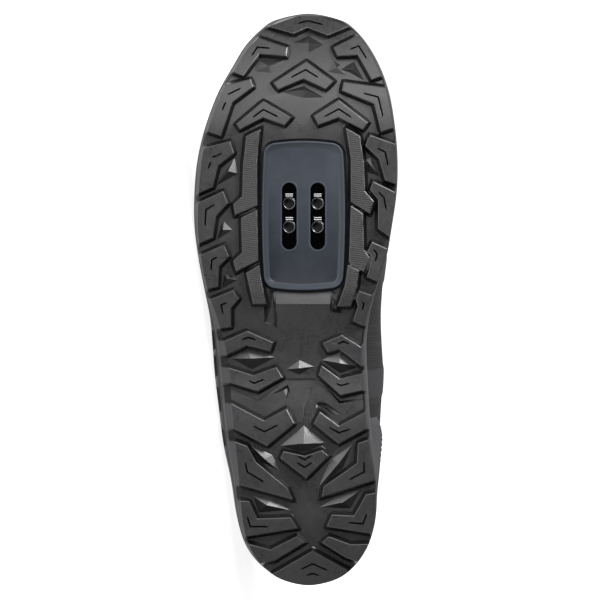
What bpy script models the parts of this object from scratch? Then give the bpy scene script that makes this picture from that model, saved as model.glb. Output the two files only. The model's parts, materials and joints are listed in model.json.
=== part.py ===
"""Right cycling shoe with a cleat window in a lugged rubber sole, lying on its lateral side.

The shoe is worked out in its own axes first: x from the heel to the toe, y towards the
medial side, z up from the ground plane of the sole. The last step lays it on its side.
Lengths are metres. Tables hold shares of the named sizes; "across" shares are of the
sole's local width unit, which runs from heel_width at the heel to ball_width at the ball.
"""
import math

import bmesh
import bpy
from mathutils import Matrix, Vector
from mathutils.geometry import delaunay_2d_cdt

for old in list(bpy.data.objects):
    bpy.data.objects.remove(old, do_unlink=True)

# Driving sizes of the sole
sole_length = 0.292
ball_width = 0.1035
heel_width = 0.0715
heel_stack = 0.0260
ball_stack = 0.0180
toe_spring = 0.0170
arch_rise = 0.0040
heel_bevel = 0.0050
web_thickness = 0.0030
lug_depth = 0.0045
lug_draft = 0.0012
peak_height = 0.0021
pit_depth = 0.0016
sidewall_share = 0.65
notch_depth = 0.0013
clearance = 0.0003

# Cleat plate, its slots and its nuts
plate_along = 0.644
plate_across = -0.030
plate_length = 0.0740
plate_width = 0.0405
plate_corner = 0.0065
plate_barrel = 0.0009
plate_gap = 0.0013
plate_rim_height = 0.0030
plate_rim_round = 0.0006
plate_floor_height = 0.0058
plate_bevel = 0.0030
plate_thickness = 0.0025
flange_width = 0.0020
flange_thickness = 0.0018
slot_spacing = 0.0145
slot_width = 0.0074
slot_length = 0.0340
slot_shift = -0.0003
nut_pitch = 0.0120
nut_shift = 0.0005
nut_outer = 0.0066
nut_bore = 0.0042
nut_height = 0.0016
nut_plate_length = 0.0400
nut_plate_width = 0.0300
nut_plate_thickness = 0.0015
nut_plate_corner = 0.0040

# Driving sizes of the upper
toe_height = 0.0420
instep_height = 0.0985
heel_height = 0.0915
throat_width = 0.0400
collar_width = 0.0650
upper_wall = 0.0020
collar_pad = 0.0035
feather_inset = 0.0020
overlay_gap = 0.00045
toe_cap_thickness = 0.0012
counter_thickness = 0.0012
insole_thickness = 0.0035
insole_gap = 0.0012
insole_taper = 0.0008
tongue_thickness = 0.0030
tongue_gap = 0.0009
tongue_rise = 0.0200
tongue_crown = 0.0025
strap_width = 0.0240
strap_thickness = 0.0018
strap_crown = 0.0040

# Sole outline from above: along, then across shares of tread edge and sole edge
PLAN = (
    # along, tread_lateral, tread_medial, edge_lateral, edge_medial
    (0.007, -0.164, 0.150, -0.179, 0.164),
    (0.021, -0.272, 0.257, -0.282, 0.272),
    (0.045, -0.372, 0.350, -0.393, 0.364),
    (0.077, -0.440, 0.425, -0.472, 0.432),
    (0.121, -0.479, 0.461, -0.522, 0.475),
    (0.182, -0.500, 0.461, -0.562, 0.479),
    (0.243, -0.512, 0.411, -0.600, 0.443),
    (0.304, -0.489, 0.343, -0.576, 0.381),
    (0.366, -0.451, 0.292, -0.538, 0.329),
    (0.418, -0.440, 0.267, -0.508, 0.298),
    (0.465, -0.459, 0.275, -0.497, 0.297),
    (0.514, -0.499, 0.314, -0.518, 0.328),
    (0.570, -0.533, 0.368, -0.548, 0.378),
    (0.628, -0.548, 0.397, -0.568, 0.407),
    (0.686, -0.543, 0.417, -0.568, 0.430),
    (0.742, -0.528, 0.422, -0.553, 0.434),
    (0.798, -0.494, 0.407, -0.516, 0.422),
    (0.856, -0.430, 0.378, -0.457, 0.395),
    (0.903, -0.360, 0.331, -0.385, 0.351),
    (0.943, -0.288, 0.271, -0.317, 0.290),
    (0.973, -0.203, 0.198, -0.236, 0.220),
    (0.989, -0.126, 0.119, -0.164, 0.148),
)
HEEL_TIP = (0.000, -0.007, 0.000, -0.007)
TOE_TIP = (0.994, -0.005, 1.000, -0.005)

# Side view of the sole: shares of the named rises, then of the two stacks
PROFILE = (
    # along, toe_spring, arch_rise, heel_bevel, heel_stack, ball_stack
    (0.00, 0.00, 0.00, 1.00, 0.88, 0.00),
    (0.03, 0.00, 0.00, 0.45, 0.93, 0.00),
    (0.07, 0.00, 0.00, 0.08, 0.98, 0.00),
    (0.11, 0.00, 0.00, 0.00, 1.00, 0.00),
    (0.26, 0.00, 0.00, 0.00, 0.97, 0.02),
    (0.32, 0.00, 0.40, 0.00, 0.80, 0.14),
    (0.38, 0.00, 0.90, 0.00, 0.58, 0.30),
    (0.44, 0.00, 0.85, 0.00, 0.38, 0.50),
    (0.50, 0.00, 0.10, 0.00, 0.20, 0.82),
    (0.52, 0.00, 0.00, 0.00, 0.14, 0.90),
    (0.62, 0.00, 0.00, 0.00, 0.00, 1.00),
    (0.78, 0.00, 0.00, 0.00, 0.00, 0.98),
    (0.84, 0.10, 0.00, 0.00, 0.00, 0.94),
    (0.90, 0.35, 0.00, 0.00, 0.00, 0.87),
    (0.95, 0.63, 0.00, 0.00, 0.00, 0.80),
    (1.00, 1.00, 0.00, 0.00, 0.00, 0.72),
)

# Lugs that are bent bars: outer end, outer elbow, outer end, inner end, inner elbow, inner end
LUGS = {
    "toe_front": ((0.975, -0.202), (1.001, -0.005), (0.975, 0.197),
                  (0.959, 0.089), (0.973, -0.010), (0.962, -0.079)),
    "toe_lateral": ((0.938, -0.109), (0.955, -0.252), (0.899, -0.410),
                    (0.887, -0.326), (0.926, -0.247), (0.922, -0.114)),
    "fore_lateral_1": ((0.882, -0.291), (0.868, -0.444), (0.793, -0.523),
                       (0.782, -0.434), (0.840, -0.380), (0.868, -0.276)),
    "fore_lateral_2": ((0.773, -0.390), (0.759, -0.543), (0.677, -0.578),
                       (0.693, -0.474), (0.730, -0.449), (0.752, -0.370)),
    "fore_lateral_3": ((0.686, -0.425), (0.661, -0.578), (0.588, -0.588),
                       (0.605, -0.474), (0.642, -0.459), (0.665, -0.400)),
    "fore_lateral_4": ((0.593, -0.420), (0.569, -0.573), (0.514, -0.523),
                       (0.520, -0.449), (0.555, -0.444), (0.572, -0.395)),
    "waist_lateral": ((0.514, -0.375), (0.492, -0.529), (0.446, -0.472),
                      (0.450, -0.394), (0.483, -0.386), (0.499, -0.346)),
    "toe_medial": ((0.938, 0.118), (0.962, 0.252), (0.889, 0.370),
                   (0.880, 0.306), (0.924, 0.237), (0.922, 0.138)),
    "fore_medial_1": ((0.877, 0.168), (0.866, 0.400), (0.798, 0.430),
                      (0.789, 0.351), (0.838, 0.316), (0.861, 0.158)),
    "fore_medial_2": ((0.784, 0.296), (0.765, 0.444), (0.696, 0.444),
                      (0.705, 0.370), (0.742, 0.341), (0.765, 0.272)),
    "fore_medial_3": ((0.703, 0.311), (0.682, 0.434), (0.605, 0.400),
                      (0.621, 0.336), (0.672, 0.336), (0.688, 0.296)),
    "fore_medial_4": ((0.598, 0.306), (0.584, 0.395), (0.528, 0.341),
                      (0.537, 0.281), (0.569, 0.306), (0.583, 0.286)),
    "waist_medial": ((0.513, 0.242), (0.504, 0.316), (0.451, 0.278),
                     (0.460, 0.216), (0.486, 0.237), (0.497, 0.227)),
    "centre_fore": ((0.875, -0.178), (0.913, -0.015), (0.878, 0.118),
                    (0.864, 0.079), (0.882, -0.030), (0.863, -0.153)),
    "pair_lateral": ((0.803, -0.360), (0.843, -0.227), (0.814, -0.089),
                     (0.801, -0.123), (0.814, -0.227), (0.793, -0.341)),
    "pair_medial": ((0.817, 0.020), (0.845, 0.143), (0.805, 0.286),
                    (0.793, 0.262), (0.814, 0.143), (0.801, 0.044)),
    "arch_lateral": ((0.422, -0.469), (0.443, -0.315), (0.423, -0.187),
                     (0.408, -0.207), (0.418, -0.324), (0.397, -0.469)),
    "arch_medial": ((0.422, 0.068), (0.436, 0.164), (0.409, 0.302),
                    (0.373, 0.325), (0.411, 0.158), (0.406, 0.096)),
    "quarter_lateral_1": ((0.380, -0.183), (0.366, -0.318), (0.381, -0.464),
                          (0.355, -0.480), (0.338, -0.305), (0.362, -0.154)),
    "quarter_medial_1": ((0.383, 0.066), (0.360, 0.172), (0.371, 0.321),
                         (0.341, 0.338), (0.331, 0.188), (0.366, 0.051)),
    "quarter_lateral_2": ((0.308, -0.145), (0.287, -0.295), (0.322, -0.511),
                          (0.278, -0.532), (0.243, -0.293), (0.282, -0.099)),
    "quarter_medial_2": ((0.303, 0.064), (0.278, 0.193), (0.306, 0.374),
                         (0.278, 0.412), (0.247, 0.201), (0.282, 0.026)),
    "heel_centre_top": ((0.234, -0.183), (0.226, -0.035), (0.236, 0.084),
                        (0.226, 0.135), (0.187, -0.021), (0.222, -0.206)),
    "heel_lateral_1": ((0.170, -0.157), (0.215, -0.378), (0.243, -0.432),
                       (0.252, -0.524), (0.178, -0.529), (0.150, -0.121)),
    "heel_medial_1": ((0.173, 0.100), (0.213, 0.335), (0.248, 0.333),
                      (0.259, 0.451), (0.187, 0.507), (0.154, 0.086)),
    "heel_lateral_2": ((0.119, -0.136), (0.117, -0.372), (0.147, -0.429),
                       (0.149, -0.536), (0.084, -0.493), (0.100, -0.086)),
    "heel_medial_2": ((0.124, 0.157), (0.122, 0.314), (0.159, 0.400),
                      (0.164, 0.507), (0.089, 0.479), (0.103, 0.121)),
    "heel_lateral_3": ((0.086, -0.093), (0.063, -0.279), (0.077, -0.493),
                       (0.037, -0.386), (0.044, -0.243), (0.075, -0.036)),
    "heel_medial_3": ((0.086, 0.136), (0.072, 0.293), (0.073, 0.465),
                      (0.040, 0.357), (0.049, 0.257), (0.075, 0.086)),
    "heel_back": ((0.016, -0.293), (0.061, 0.021), (0.024, 0.293),
                  (-0.010, 0.222), (-0.014, -0.007), (-0.010, -0.207)),
}

# Rails that run beside the cleat window in three steps on each side
RAILS = {
    "rail_lateral_1": ((0.782, -0.311), (0.794, -0.242), (0.742, -0.257), (0.661, -0.257),
                       (0.644, -0.365), (0.663, -0.375), (0.677, -0.331), (0.733, -0.326)),
    "rail_lateral_2": ((0.640, -0.336), (0.654, -0.257), (0.565, -0.252), (0.546, -0.360),
                       (0.565, -0.375), (0.579, -0.331)),
    "rail_lateral_3": ((0.544, -0.311), (0.558, -0.247), (0.532, -0.237), (0.490, -0.213),
                       (0.490, -0.277)),
    "rail_medial_1": ((0.796, 0.178), (0.782, 0.247), (0.733, 0.267), (0.686, 0.272),
                      (0.668, 0.316), (0.647, 0.296), (0.668, 0.202), (0.742, 0.202)),
    "rail_medial_2": ((0.661, 0.202), (0.647, 0.262), (0.584, 0.267), (0.570, 0.296),
                      (0.546, 0.267), (0.563, 0.193)),
    "rail_medial_3": ((0.558, 0.188), (0.548, 0.242), (0.518, 0.232), (0.486, 0.203),
                      (0.486, 0.138), (0.523, 0.173)),
}

# Low pyramids between the lugs: four corners round, then the peak
PEAKS = {
    "toe_peak": ((0.947, -0.079), (0.959, -0.005), (0.943, 0.069),
                 (0.929, -0.005), (0.945, -0.005)),
    "arch_peak_lateral": ((0.395, -0.422), (0.409, -0.318), (0.397, -0.183),
                          (0.376, -0.318), (0.395, -0.319)),
    "arch_peak_medial": ((0.392, 0.065), (0.406, 0.160), (0.381, 0.271),
                         (0.369, 0.175), (0.387, 0.164)),
    "arch_peak_centre": ((0.376, -0.128), (0.392, -0.054), (0.381, 0.022),
                         (0.367, -0.057), (0.378, -0.061)),
    "heel_peak_centre": ((0.243, -0.202), (0.278, -0.040), (0.248, 0.111),
                         (0.231, -0.035), (0.247, -0.042)),
    "heel_peak_lateral": ((0.2455, -0.416), (0.227, -0.262), (0.199, -0.212),
                          (0.2165, -0.350), (0.2205, -0.318)),
    "heel_peak_medial": ((0.172, 0.065), (0.219, 0.150), (0.2455, 0.298),
                         (0.206, 0.240), (0.2125, 0.205)),
    "heel_fin_lateral": ((0.156, -0.402), (0.1505, -0.280), (0.1315, -0.145),
                         (0.127, -0.361), (0.140, -0.305)),
    "heel_fin_medial": ((0.136, 0.073), (0.1545, 0.190), (0.167, 0.367),
                        (0.1345, 0.290), (0.1445, 0.235)),
    "side_peak_1": ((0.723, -0.410), (0.744, -0.370), (0.717, -0.351),
                    (0.695, -0.464), (0.721, -0.400)),
    "side_peak_2": ((0.630, -0.434), (0.633, -0.420), (0.619, -0.380),
                    (0.602, -0.454), (0.619, -0.425)),
    "side_peak_3": ((0.541, -0.420), (0.546, -0.405), (0.532, -0.355),
                    (0.516, -0.430), (0.534, -0.405)),
    "side_peak_4": ((0.742, 0.276), (0.745, 0.301), (0.712, 0.346), (0.719, 0.286), (0.730, 0.301)),
    "fore_peak": ((0.859, -0.138), (0.870, -0.030), (0.850, 0.069),
                  (0.849, -0.030), (0.863, -0.030)),
    "toe_facet_medial": ((0.899, 0.153), (0.913, 0.217), (0.880, 0.267),
                         (0.894, 0.197), (0.899, 0.212)),
}

# Shallow pockets in the web
PITS = {
    "ramp_pocket_lateral": ((0.509, -0.215), (0.509, -0.180), (0.454, -0.176), (0.460, -0.215)),
    "ramp_pocket_medial": ((0.508, 0.112), (0.506, 0.176), (0.478, 0.150), (0.480, 0.112)),
    "quarter_pocket_lateral": ((0.345, -0.126), (0.320, -0.145), (0.300, -0.268),
                               (0.309, -0.328), (0.332, -0.228)),
    "quarter_pocket_medial": ((0.315, 0.062), (0.314, 0.098), (0.296, 0.212), (0.292, 0.178)),
}

# The midsole's side, from the rubber up: how far out, how far up, and whether recesses cut it
MIDSOLE_SIDE = (
    # out, up, notched
    (0.00, 0.00, 0.0),
    (0.75, 0.30, 1.0),
    (1.00, 0.62, 1.0),
    (1.00, 0.80, 0.0),
    (0.97, 1.00, 0.0),
)

# Recesses in the sole's lateral side: where along, and how long
NOTCHES = (
    # along, length
    (0.427, 0.0120),
    (0.381, 0.0130),
    (0.323, 0.0140),
    (0.257, 0.0110),
)

# The upper's top line, from the toe (around 0) to the back of the heel (around 1)
TOP_LINE = (
    # around, along, toe_height, instep_height, heel_height, throat_width, collar_width
    (0.000, 0.955, 1.00, 0.000, 0.000, 0.00, 0.00),
    (0.070, 0.940, 1.04, 0.000, 0.000, 0.00, 0.00),
    (0.150, 0.895, 0.85, 0.115, 0.000, 0.00, 0.00),
    (0.220, 0.830, 0.60, 0.270, 0.000, 0.00, 0.00),
    (0.285, 0.762, 0.35, 0.430, 0.000, 0.00, 0.00),
    (0.345, 0.700, 0.15, 0.575, 0.000, 0.00, 0.00),
    (0.400, 0.640, 0.00, 0.695, 0.000, 0.28, 0.00),
    (0.490, 0.545, 0.00, 0.790, 0.000, 0.42, 0.00),
    (0.580, 0.455, 0.00, 0.895, 0.000, 0.50, 0.00),
    (0.630, 0.402, 0.00, 0.985, 0.000, 0.58, 0.00),
    (0.650, 0.378, 0.00, 1.000, 0.000, 0.60, 0.00),
    (0.672, 0.350, 0.00, 0.850, 0.132, 0.52, 0.07),
    (0.720, 0.290, 0.00, 0.430, 0.480, 0.30, 0.28),
    (0.790, 0.200, 0.00, 0.100, 0.765, 0.00, 0.50),
    (0.865, 0.115, 0.00, 0.000, 0.890, 0.00, 0.44),
    (0.930, 0.055, 0.00, 0.000, 0.950, 0.00, 0.29),
    (1.000, 0.026, 0.00, 0.000, 1.000, 0.00, 0.00),
)

# The swell of the upper past the medial arch: height, middle and half length, the last two round the sole
arch_swell = 0.028
arch_swell_at = 0.60
arch_swell_reach = 0.26

# How each side curve rises from the sole edge: handles of a cubic curve
SIDE_CURVE = (
    # around, rise, bulge_lateral, bulge_medial, roof, hang
    (0.000, 0.72, 0.000, 0.000, 0.80, 0.02),
    (0.150, 0.72, 0.000, 0.000, 0.78, 0.03),
    (0.285, 0.66, -0.010, 0.000, 0.70, 0.05),
    (0.345, 0.62, -0.015, 0.000, 0.66, 0.08),
    (0.400, 0.56, -0.015, 0.000, 0.58, 0.15),
    (0.490, 0.50, -0.015, 0.000, 0.46, 0.25),
    (0.580, 0.45, -0.030, 0.000, 0.36, 0.34),
    (0.650, 0.42, -0.045, 0.000, 0.28, 0.40),
    (0.720, 0.40, -0.055, 0.000, 0.16, 0.44),
    (0.790, 0.38, -0.045, 0.000, 0.06, 0.45),
    (0.865, 0.36, -0.025, 0.020, 0.00, 0.45),
    (0.930, 0.36, 0.000, 0.020, -0.04, 0.40),
    (1.000, 0.36, 0.020, 0.020, -0.10, 0.36),
)

# Where the ridge of the upper runs across the sole
RIDGE = (
    # along, across
    (0.00, -0.007),
    (0.10, -0.020),
    (0.40, -0.070),
    (0.55, -0.060),
    (0.70, -0.050),
    (0.85, -0.020),
    (1.00, -0.005),
)

# Overlays: how high each reaches on the side curve at a place around the upper
TOE_CAP_TOP = ((0.000, 0.42), (0.060, 0.40), (0.110, 0.30), (0.150, 0.12))
COUNTER_TOP = ((0.690, 0.10), (0.740, 0.30), (0.800, 0.44), (0.880, 0.52), (1.000, 0.56))

# Straps over the throat: centre around the upper, and how far down each side they reach
STRAPS = {
    # name: around, lateral reach, medial reach
    "strap_front": (0.445, 0.46, 0.62),
    "strap_rear": (0.585, 0.52, 0.66),
}

# Places on the upper: where the throat starts and its top corner, and where the pad swells
THROAT_AROUND = 0.345
CORNER_AROUND = 0.650
PAD_LEAD = 0.10
PAD_START_UP = 0.55
PAD_FULL_UP = 0.90

# The tongue's line across the throat, and a strap's share of the sole edge's length
TONGUE_LEAD = 0.05
TONGUE_ROOT_UP = 0.80
TONGUE_EDGE_UP = 0.93
STRAP_SPREAD = 0.92

# How finely the solids are divided
ROWS_UP = 10
COLUMN_SPACING = 0.0095
POINTS_PER_SPAN = 3
STEPS_PER_SPAN = 8
LID_SPACING = 0.011
LID_MARGIN = 0.005
NORMAL_STEP_AROUND = 0.012
OUTLINE_STEP = 0.05
NORMAL_STEP_UP = 0.06


def smoothstep(value):
    value = min(max(value, 0.0), 1.0)
    return value * value * (3.0 - 2.0 * value)


def table_value(rows, column, where):
    """One column of a table at a share, as a smooth curve that never overshoots its rows."""
    if where <= rows[0][0]:
        return rows[0][column]
    if where >= rows[-1][0]:
        return rows[-1][column]
    spot = next(i for i in range(len(rows) - 1) if rows[i + 1][0] >= where)

    def slope(i):
        return (rows[i + 1][column] - rows[i][column]) / (rows[i + 1][0] - rows[i][0])

    def tangent(i):
        if i == 0 or i == len(rows) - 1:
            return slope(min(i, len(rows) - 2))
        before, after = slope(i - 1), slope(i)
        if before * after <= 0.0:
            return 0.0
        return 2.0 * before * after / (before + after)

    step = rows[spot + 1][0] - rows[spot][0]
    t = (where - rows[spot][0]) / step
    return ((2 * t**3 - 3 * t**2 + 1) * rows[spot][column]
            + (t**3 - 2 * t**2 + t) * step * tangent(spot)
            + (3 * t**2 - 2 * t**3) * rows[spot + 1][column]
            + (t**3 - t**2) * step * tangent(spot + 1))


def width_unit(along):
    """The size that across shares refer to, from the heel's width to the ball's."""
    blend = smoothstep((along - 0.2) / 0.3)
    return heel_width * (1.0 - blend) + ball_width * blend


def place(point):
    """A table point (along, across) as metres in plan."""
    along, across = point
    return Vector((along * sole_length, across * width_unit(along)))


def tread_height(x):
    """Height of the lug tops above the ground plane."""
    along = x / sole_length
    return (toe_spring * table_value(PROFILE, 1, along)
            + arch_rise * table_value(PROFILE, 2, along)
            + heel_bevel * table_value(PROFILE, 3, along))


def sole_top(x):
    """Height of the sole's upper face, where the upper stands."""
    along = x / sole_length
    return (tread_height(x) + heel_stack * table_value(PROFILE, 4, along)
            + ball_stack * table_value(PROFILE, 5, along))


def rubber_top(x):
    """Height of the face between rubber outsole and midsole."""
    return tread_height(x) + lug_depth + web_thickness


def half_outline(side, edge):
    """Control points of half the sole's outline from the toe tip to the heel tip."""
    column = (3 if edge else 1) + (1 if side > 0 else 0)
    tip = 2 if edge else 0
    points = [place((TOE_TIP[tip], TOE_TIP[tip + 1]))]
    points += [place((row[0], row[column])) for row in reversed(PLAN)]
    points.append(place((HEEL_TIP[tip], HEEL_TIP[tip + 1])))
    return points


def outline_point(side, edge, position):
    """A point of the outline's smooth curve at a position counted in control points."""
    near, far = half_outline(side, edge), half_outline(-side, edge)
    closed = [far[1]] + near + [far[-2]]
    spot = min(int(position), len(near) - 2)
    t = position - spot
    a, b, c, d = closed[spot:spot + 4]
    return 0.5 * (2 * b + (c - a) * t + (2 * a - 5 * b + 4 * c - d) * t * t
                  + (3 * b - a - 3 * c + d) * t**3)


def arc_table(side):
    """Arc lengths along the sole edge against outline positions."""
    table = [(0.0, 0.0)]
    before = outline_point(side, True, 0.0)
    for step in range(1, (len(PLAN) + 1) * STEPS_PER_SPAN + 1):
        position = step / STEPS_PER_SPAN
        here = outline_point(side, True, position)
        table.append((table[-1][0] + (here - before).length, position))
        before = here
    return table


ARCS = {side: arc_table(side) for side in (-1, 1)}


def position_around(side, around):
    """Outline position at a share of the way round from the toe tip to the heel tip."""
    table = ARCS[side]
    wanted = around * table[-1][0]
    for (a, low), (b, high) in zip(table, table[1:]):
        if b >= wanted:
            return low + (high - low) * (wanted - a) / (b - a)
    return table[-1][1]


def sole_loop(edge_share):
    """The whole outline between the tread edge (share 0) and the sole edge (share 1)."""
    last = len(PLAN) + 1
    loop = []
    for side in (-1, 1):
        count = last * POINTS_PER_SPAN
        steps = range(count) if side < 0 else range(count, 0, -1)
        for step in steps:
            position = step / POINTS_PER_SPAN
            tread = outline_point(side, False, position)
            edge = outline_point(side, True, position)
            loop.append(tread.lerp(edge, edge_share))
    return loop


def inside(point, polygon):
    """Whether a plan point lies in a polygon."""
    hit = False
    for a, b in zip(polygon, polygon[1:] + polygon[:1]):
        if (a.y > point.y) != (b.y > point.y):
            if point.x < a.x + (b.x - a.x) * (point.y - a.y) / (b.y - a.y):
                hit = not hit
    return hit


def edge_distance(point, polygon):
    """Distance from a plan point to a polygon's nearest edge, and the place on it."""
    best = (1.0, 0, 0.0)
    for index, a in enumerate(polygon):
        b = polygon[(index + 1) % len(polygon)]
        run = b - a
        t = min(max((point - a).dot(run) / max(run.length_squared, 1e-12), 0.0), 1.0)
        gap = (a + run * t - point).length
        if gap < best[0]:
            best = (gap, index, t)
    return best


def grown(polygon, amount):
    """A polygon offset outward by an amount, with mitred corners."""
    area = sum(a.cross(b) for a, b in zip(polygon, polygon[1:] + polygon[:1]))
    turn = 1.0 if area > 0 else -1.0
    result = []
    for index, here in enumerate(polygon):
        before = (here - polygon[index - 1]).normalized()
        after = (polygon[(index + 1) % len(polygon)] - here).normalized()
        out_a = Vector((before.y, -before.x)) * turn
        out_b = Vector((after.y, -after.x)) * turn
        middle = (out_a + out_b).normalized()
        reach = amount / max(middle.dot(out_a), 0.35)
        result.append(here + middle * reach)
    return result


def fill(loops, creases, free_points):
    """Triangles inside the first plan loop and outside the others, with creases and points."""
    points, areas, links = [], [], []
    for loop in loops + creases:
        start = len(points)
        points += [p * 1000.0 for p in loop]
        if len(areas) < len(loops):
            area = sum(a.cross(b) for a, b in zip(loop, loop[1:] + loop[:1]))
            order = list(range(start, start + len(loop)))
            areas.append(order if area > 0 else order[::-1])
        else:
            links += [(start + i, start + (i + 1) % len(loop)) for i in range(len(loop))]
    points += [p * 1000.0 for p in free_points]
    verts, _, faces, _, _, owners = delaunay_2d_cdt(points, links, areas, 0, 1e-4)
    kept = [face for face, owner in zip(faces, owners) if list(owner) == [0]]
    return [v / 1000.0 for v in verts], kept


class Body:
    """Collects rings and faces of one solid and turns them into an object."""

    def __init__(self):
        self.mesh = bmesh.new()

    def ring(self, points):
        return [self.mesh.verts.new(p) for p in points]

    def face(self, corners):
        distinct = []
        for corner in corners:
            if corner not in distinct:
                distinct.append(corner)
        if len(distinct) > 2:
            self.mesh.faces.new(distinct)

    def strip(self, low, high, closed=True):
        count = len(low) if closed else len(low) - 1
        for i in range(count):
            j = (i + 1) % len(low)
            self.face((low[i], low[j], high[j], high[i]))

    def cap(self, rings, height, spacing, margin):
        """Flat or curved lid between rings, with inner points so that it follows height."""
        plans = [[Vector((v.co.x, v.co.y)) for v in ring] for ring in rings]
        outer, holes = plans[0], plans[1:]
        flat = [p for plan in plans for p in plan]
        free = []
        if spacing:
            columns = int((max(p.x for p in flat) - min(p.x for p in flat)) / spacing) + 1
            rows = int((max(p.y for p in flat) - min(p.y for p in flat)) / spacing) + 1
            low_x, low_y = min(p.x for p in flat), min(p.y for p in flat)
            for i in range(columns + 1):
                for j in range(rows + 1):
                    spot = Vector((low_x + (i + 0.37) * spacing, low_y + (j + 0.41) * spacing))
                    clear = all(edge_distance(spot, plan)[0] > margin for plan in plans)
                    if clear and inside(spot, outer) and not any(inside(spot, h) for h in holes):
                        free.append(spot)
        verts, faces = fill(plans, [], free)
        known = [v for ring in rings for v in ring]
        made = []
        for index, spot in enumerate(verts):
            if index < len(known):
                made.append(known[index])
            else:
                made.append(self.mesh.verts.new((spot.x, spot.y, height(spot.x))))
        for corners in faces:
            self.face([made[i] for i in corners])

    def finish(self, name, material):
        bmesh.ops.remove_doubles(self.mesh, verts=self.mesh.verts, dist=1e-6)
        bmesh.ops.recalc_face_normals(self.mesh, faces=self.mesh.faces)
        data = bpy.data.meshes.new(name)
        self.mesh.to_mesh(data)
        self.mesh.free()
        data.materials.append(material)
        thing = bpy.data.objects.new(name, data)
        bpy.context.scene.collection.objects.link(thing)
        return thing


def material(name, colour, roughness, metallic=0.0):
    made = bpy.data.materials.new(name)
    made.use_nodes = True
    shader = made.node_tree.nodes["Principled BSDF"]
    shader.inputs["Base Color"].default_value = (*colour, 1.0)
    shader.inputs["Roughness"].default_value = roughness
    shader.inputs["Metallic"].default_value = metallic
    made.diffuse_color = (*colour, 1.0)
    return made


def rounded_plate(grow):
    """Outline of the cleat plate, grown outward: barrel sides and round corners."""
    centre = place((plate_along, plate_across))
    half_x, half_y = plate_length / 2 + grow, plate_width / 2 + grow
    corner = plate_corner + grow
    outline = []
    for quarter in range(4):
        sign_x = 1 if quarter in (0, 3) else -1
        sign_y = 1 if quarter in (0, 1) else -1
        for step in range(6):
            angle = math.radians(90.0 * quarter + 18.0 * step)
            outline.append(centre + Vector((sign_x * (half_x - corner) + corner * math.cos(angle),
                                            sign_y * (half_y - corner) + corner * math.sin(angle))))
        if quarter in (0, 2):
            for share in (0.5, 0.0, -0.5):
                bulge = plate_barrel * (1.0 - share * share)
                outline.append(centre + Vector((sign_x * share * (half_x - corner),
                                                sign_y * (half_y + bulge))))
        else:
            outline.append(centre + Vector((sign_x * (half_x + plate_barrel), 0.0)))
    return outline


def round_points(centre, radius, count):
    return [centre + radius * Vector((math.cos(math.tau * i / count), math.sin(math.tau * i / count)))
            for i in range(count)]


def slot_outline(side):
    """One long slot of the cleat plate, with round ends."""
    centre = place((plate_along, plate_across)) + Vector((slot_shift, side * slot_spacing / 2))
    reach = (slot_length - slot_width) / 2
    points = []
    for end in (1, -1):
        for step in range(9):
            angle = math.radians(22.5 * step - 90.0 * end)
            points.append(centre + Vector((end * reach, 0.0))
                          + slot_width / 2 * Vector((math.cos(angle), math.sin(angle))))
    return points


def with_height(points, height):
    return [Vector((p.x, p.y, height)) for p in points]


def draped(points, height):
    return [Vector((p.x, p.y, height(p.x))) for p in points]


RAISED = {name: [place(p) for p in corners] for name, corners in {**LUGS, **RAILS}.items()}
SUNK = {name: [place(p) for p in corners] for name, corners in PITS.items()}
POINTED = {name: [place(p) for p in corners] for name, corners in PEAKS.items()}


def fan_height(point, corners):
    """Height share of a low pyramid at a plan point."""
    top = corners[4]
    for a, b in zip(corners[:4], corners[1:4] + corners[:1]):
        whole = (a - top).cross(b - top)
        if abs(whole) < 1e-12:
            continue
        share_a = (point - top).cross(b - top) / whole
        share_b = (a - top).cross(point - top) / whole
        if share_a >= -1e-6 and share_b >= -1e-6 and share_a + share_b <= 1.0:
            return 1.0 - share_a - share_b
    return 0.0


def relief(point):
    """How far the tread stands out of the web at a plan point."""
    sunk = 0.0
    for polygon in SUNK.values():
        away = 0.0 if inside(point, polygon) else edge_distance(point, polygon)[0]
        sunk = max(sunk, pit_depth * max(0.0, 1.0 - away / lug_draft))
    high = -sunk
    for corners in POINTED.values():
        high = max(high, peak_height * fan_height(point, corners)) if sunk == 0.0 else high
    for polygon in RAISED.values():
        away = 0.0 if inside(point, polygon) else edge_distance(point, polygon)[0]
        share = max(0.0, 1.0 - away / lug_draft)
        if share > 0.0:
            high = max(high, lug_depth * share)
    return high


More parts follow.
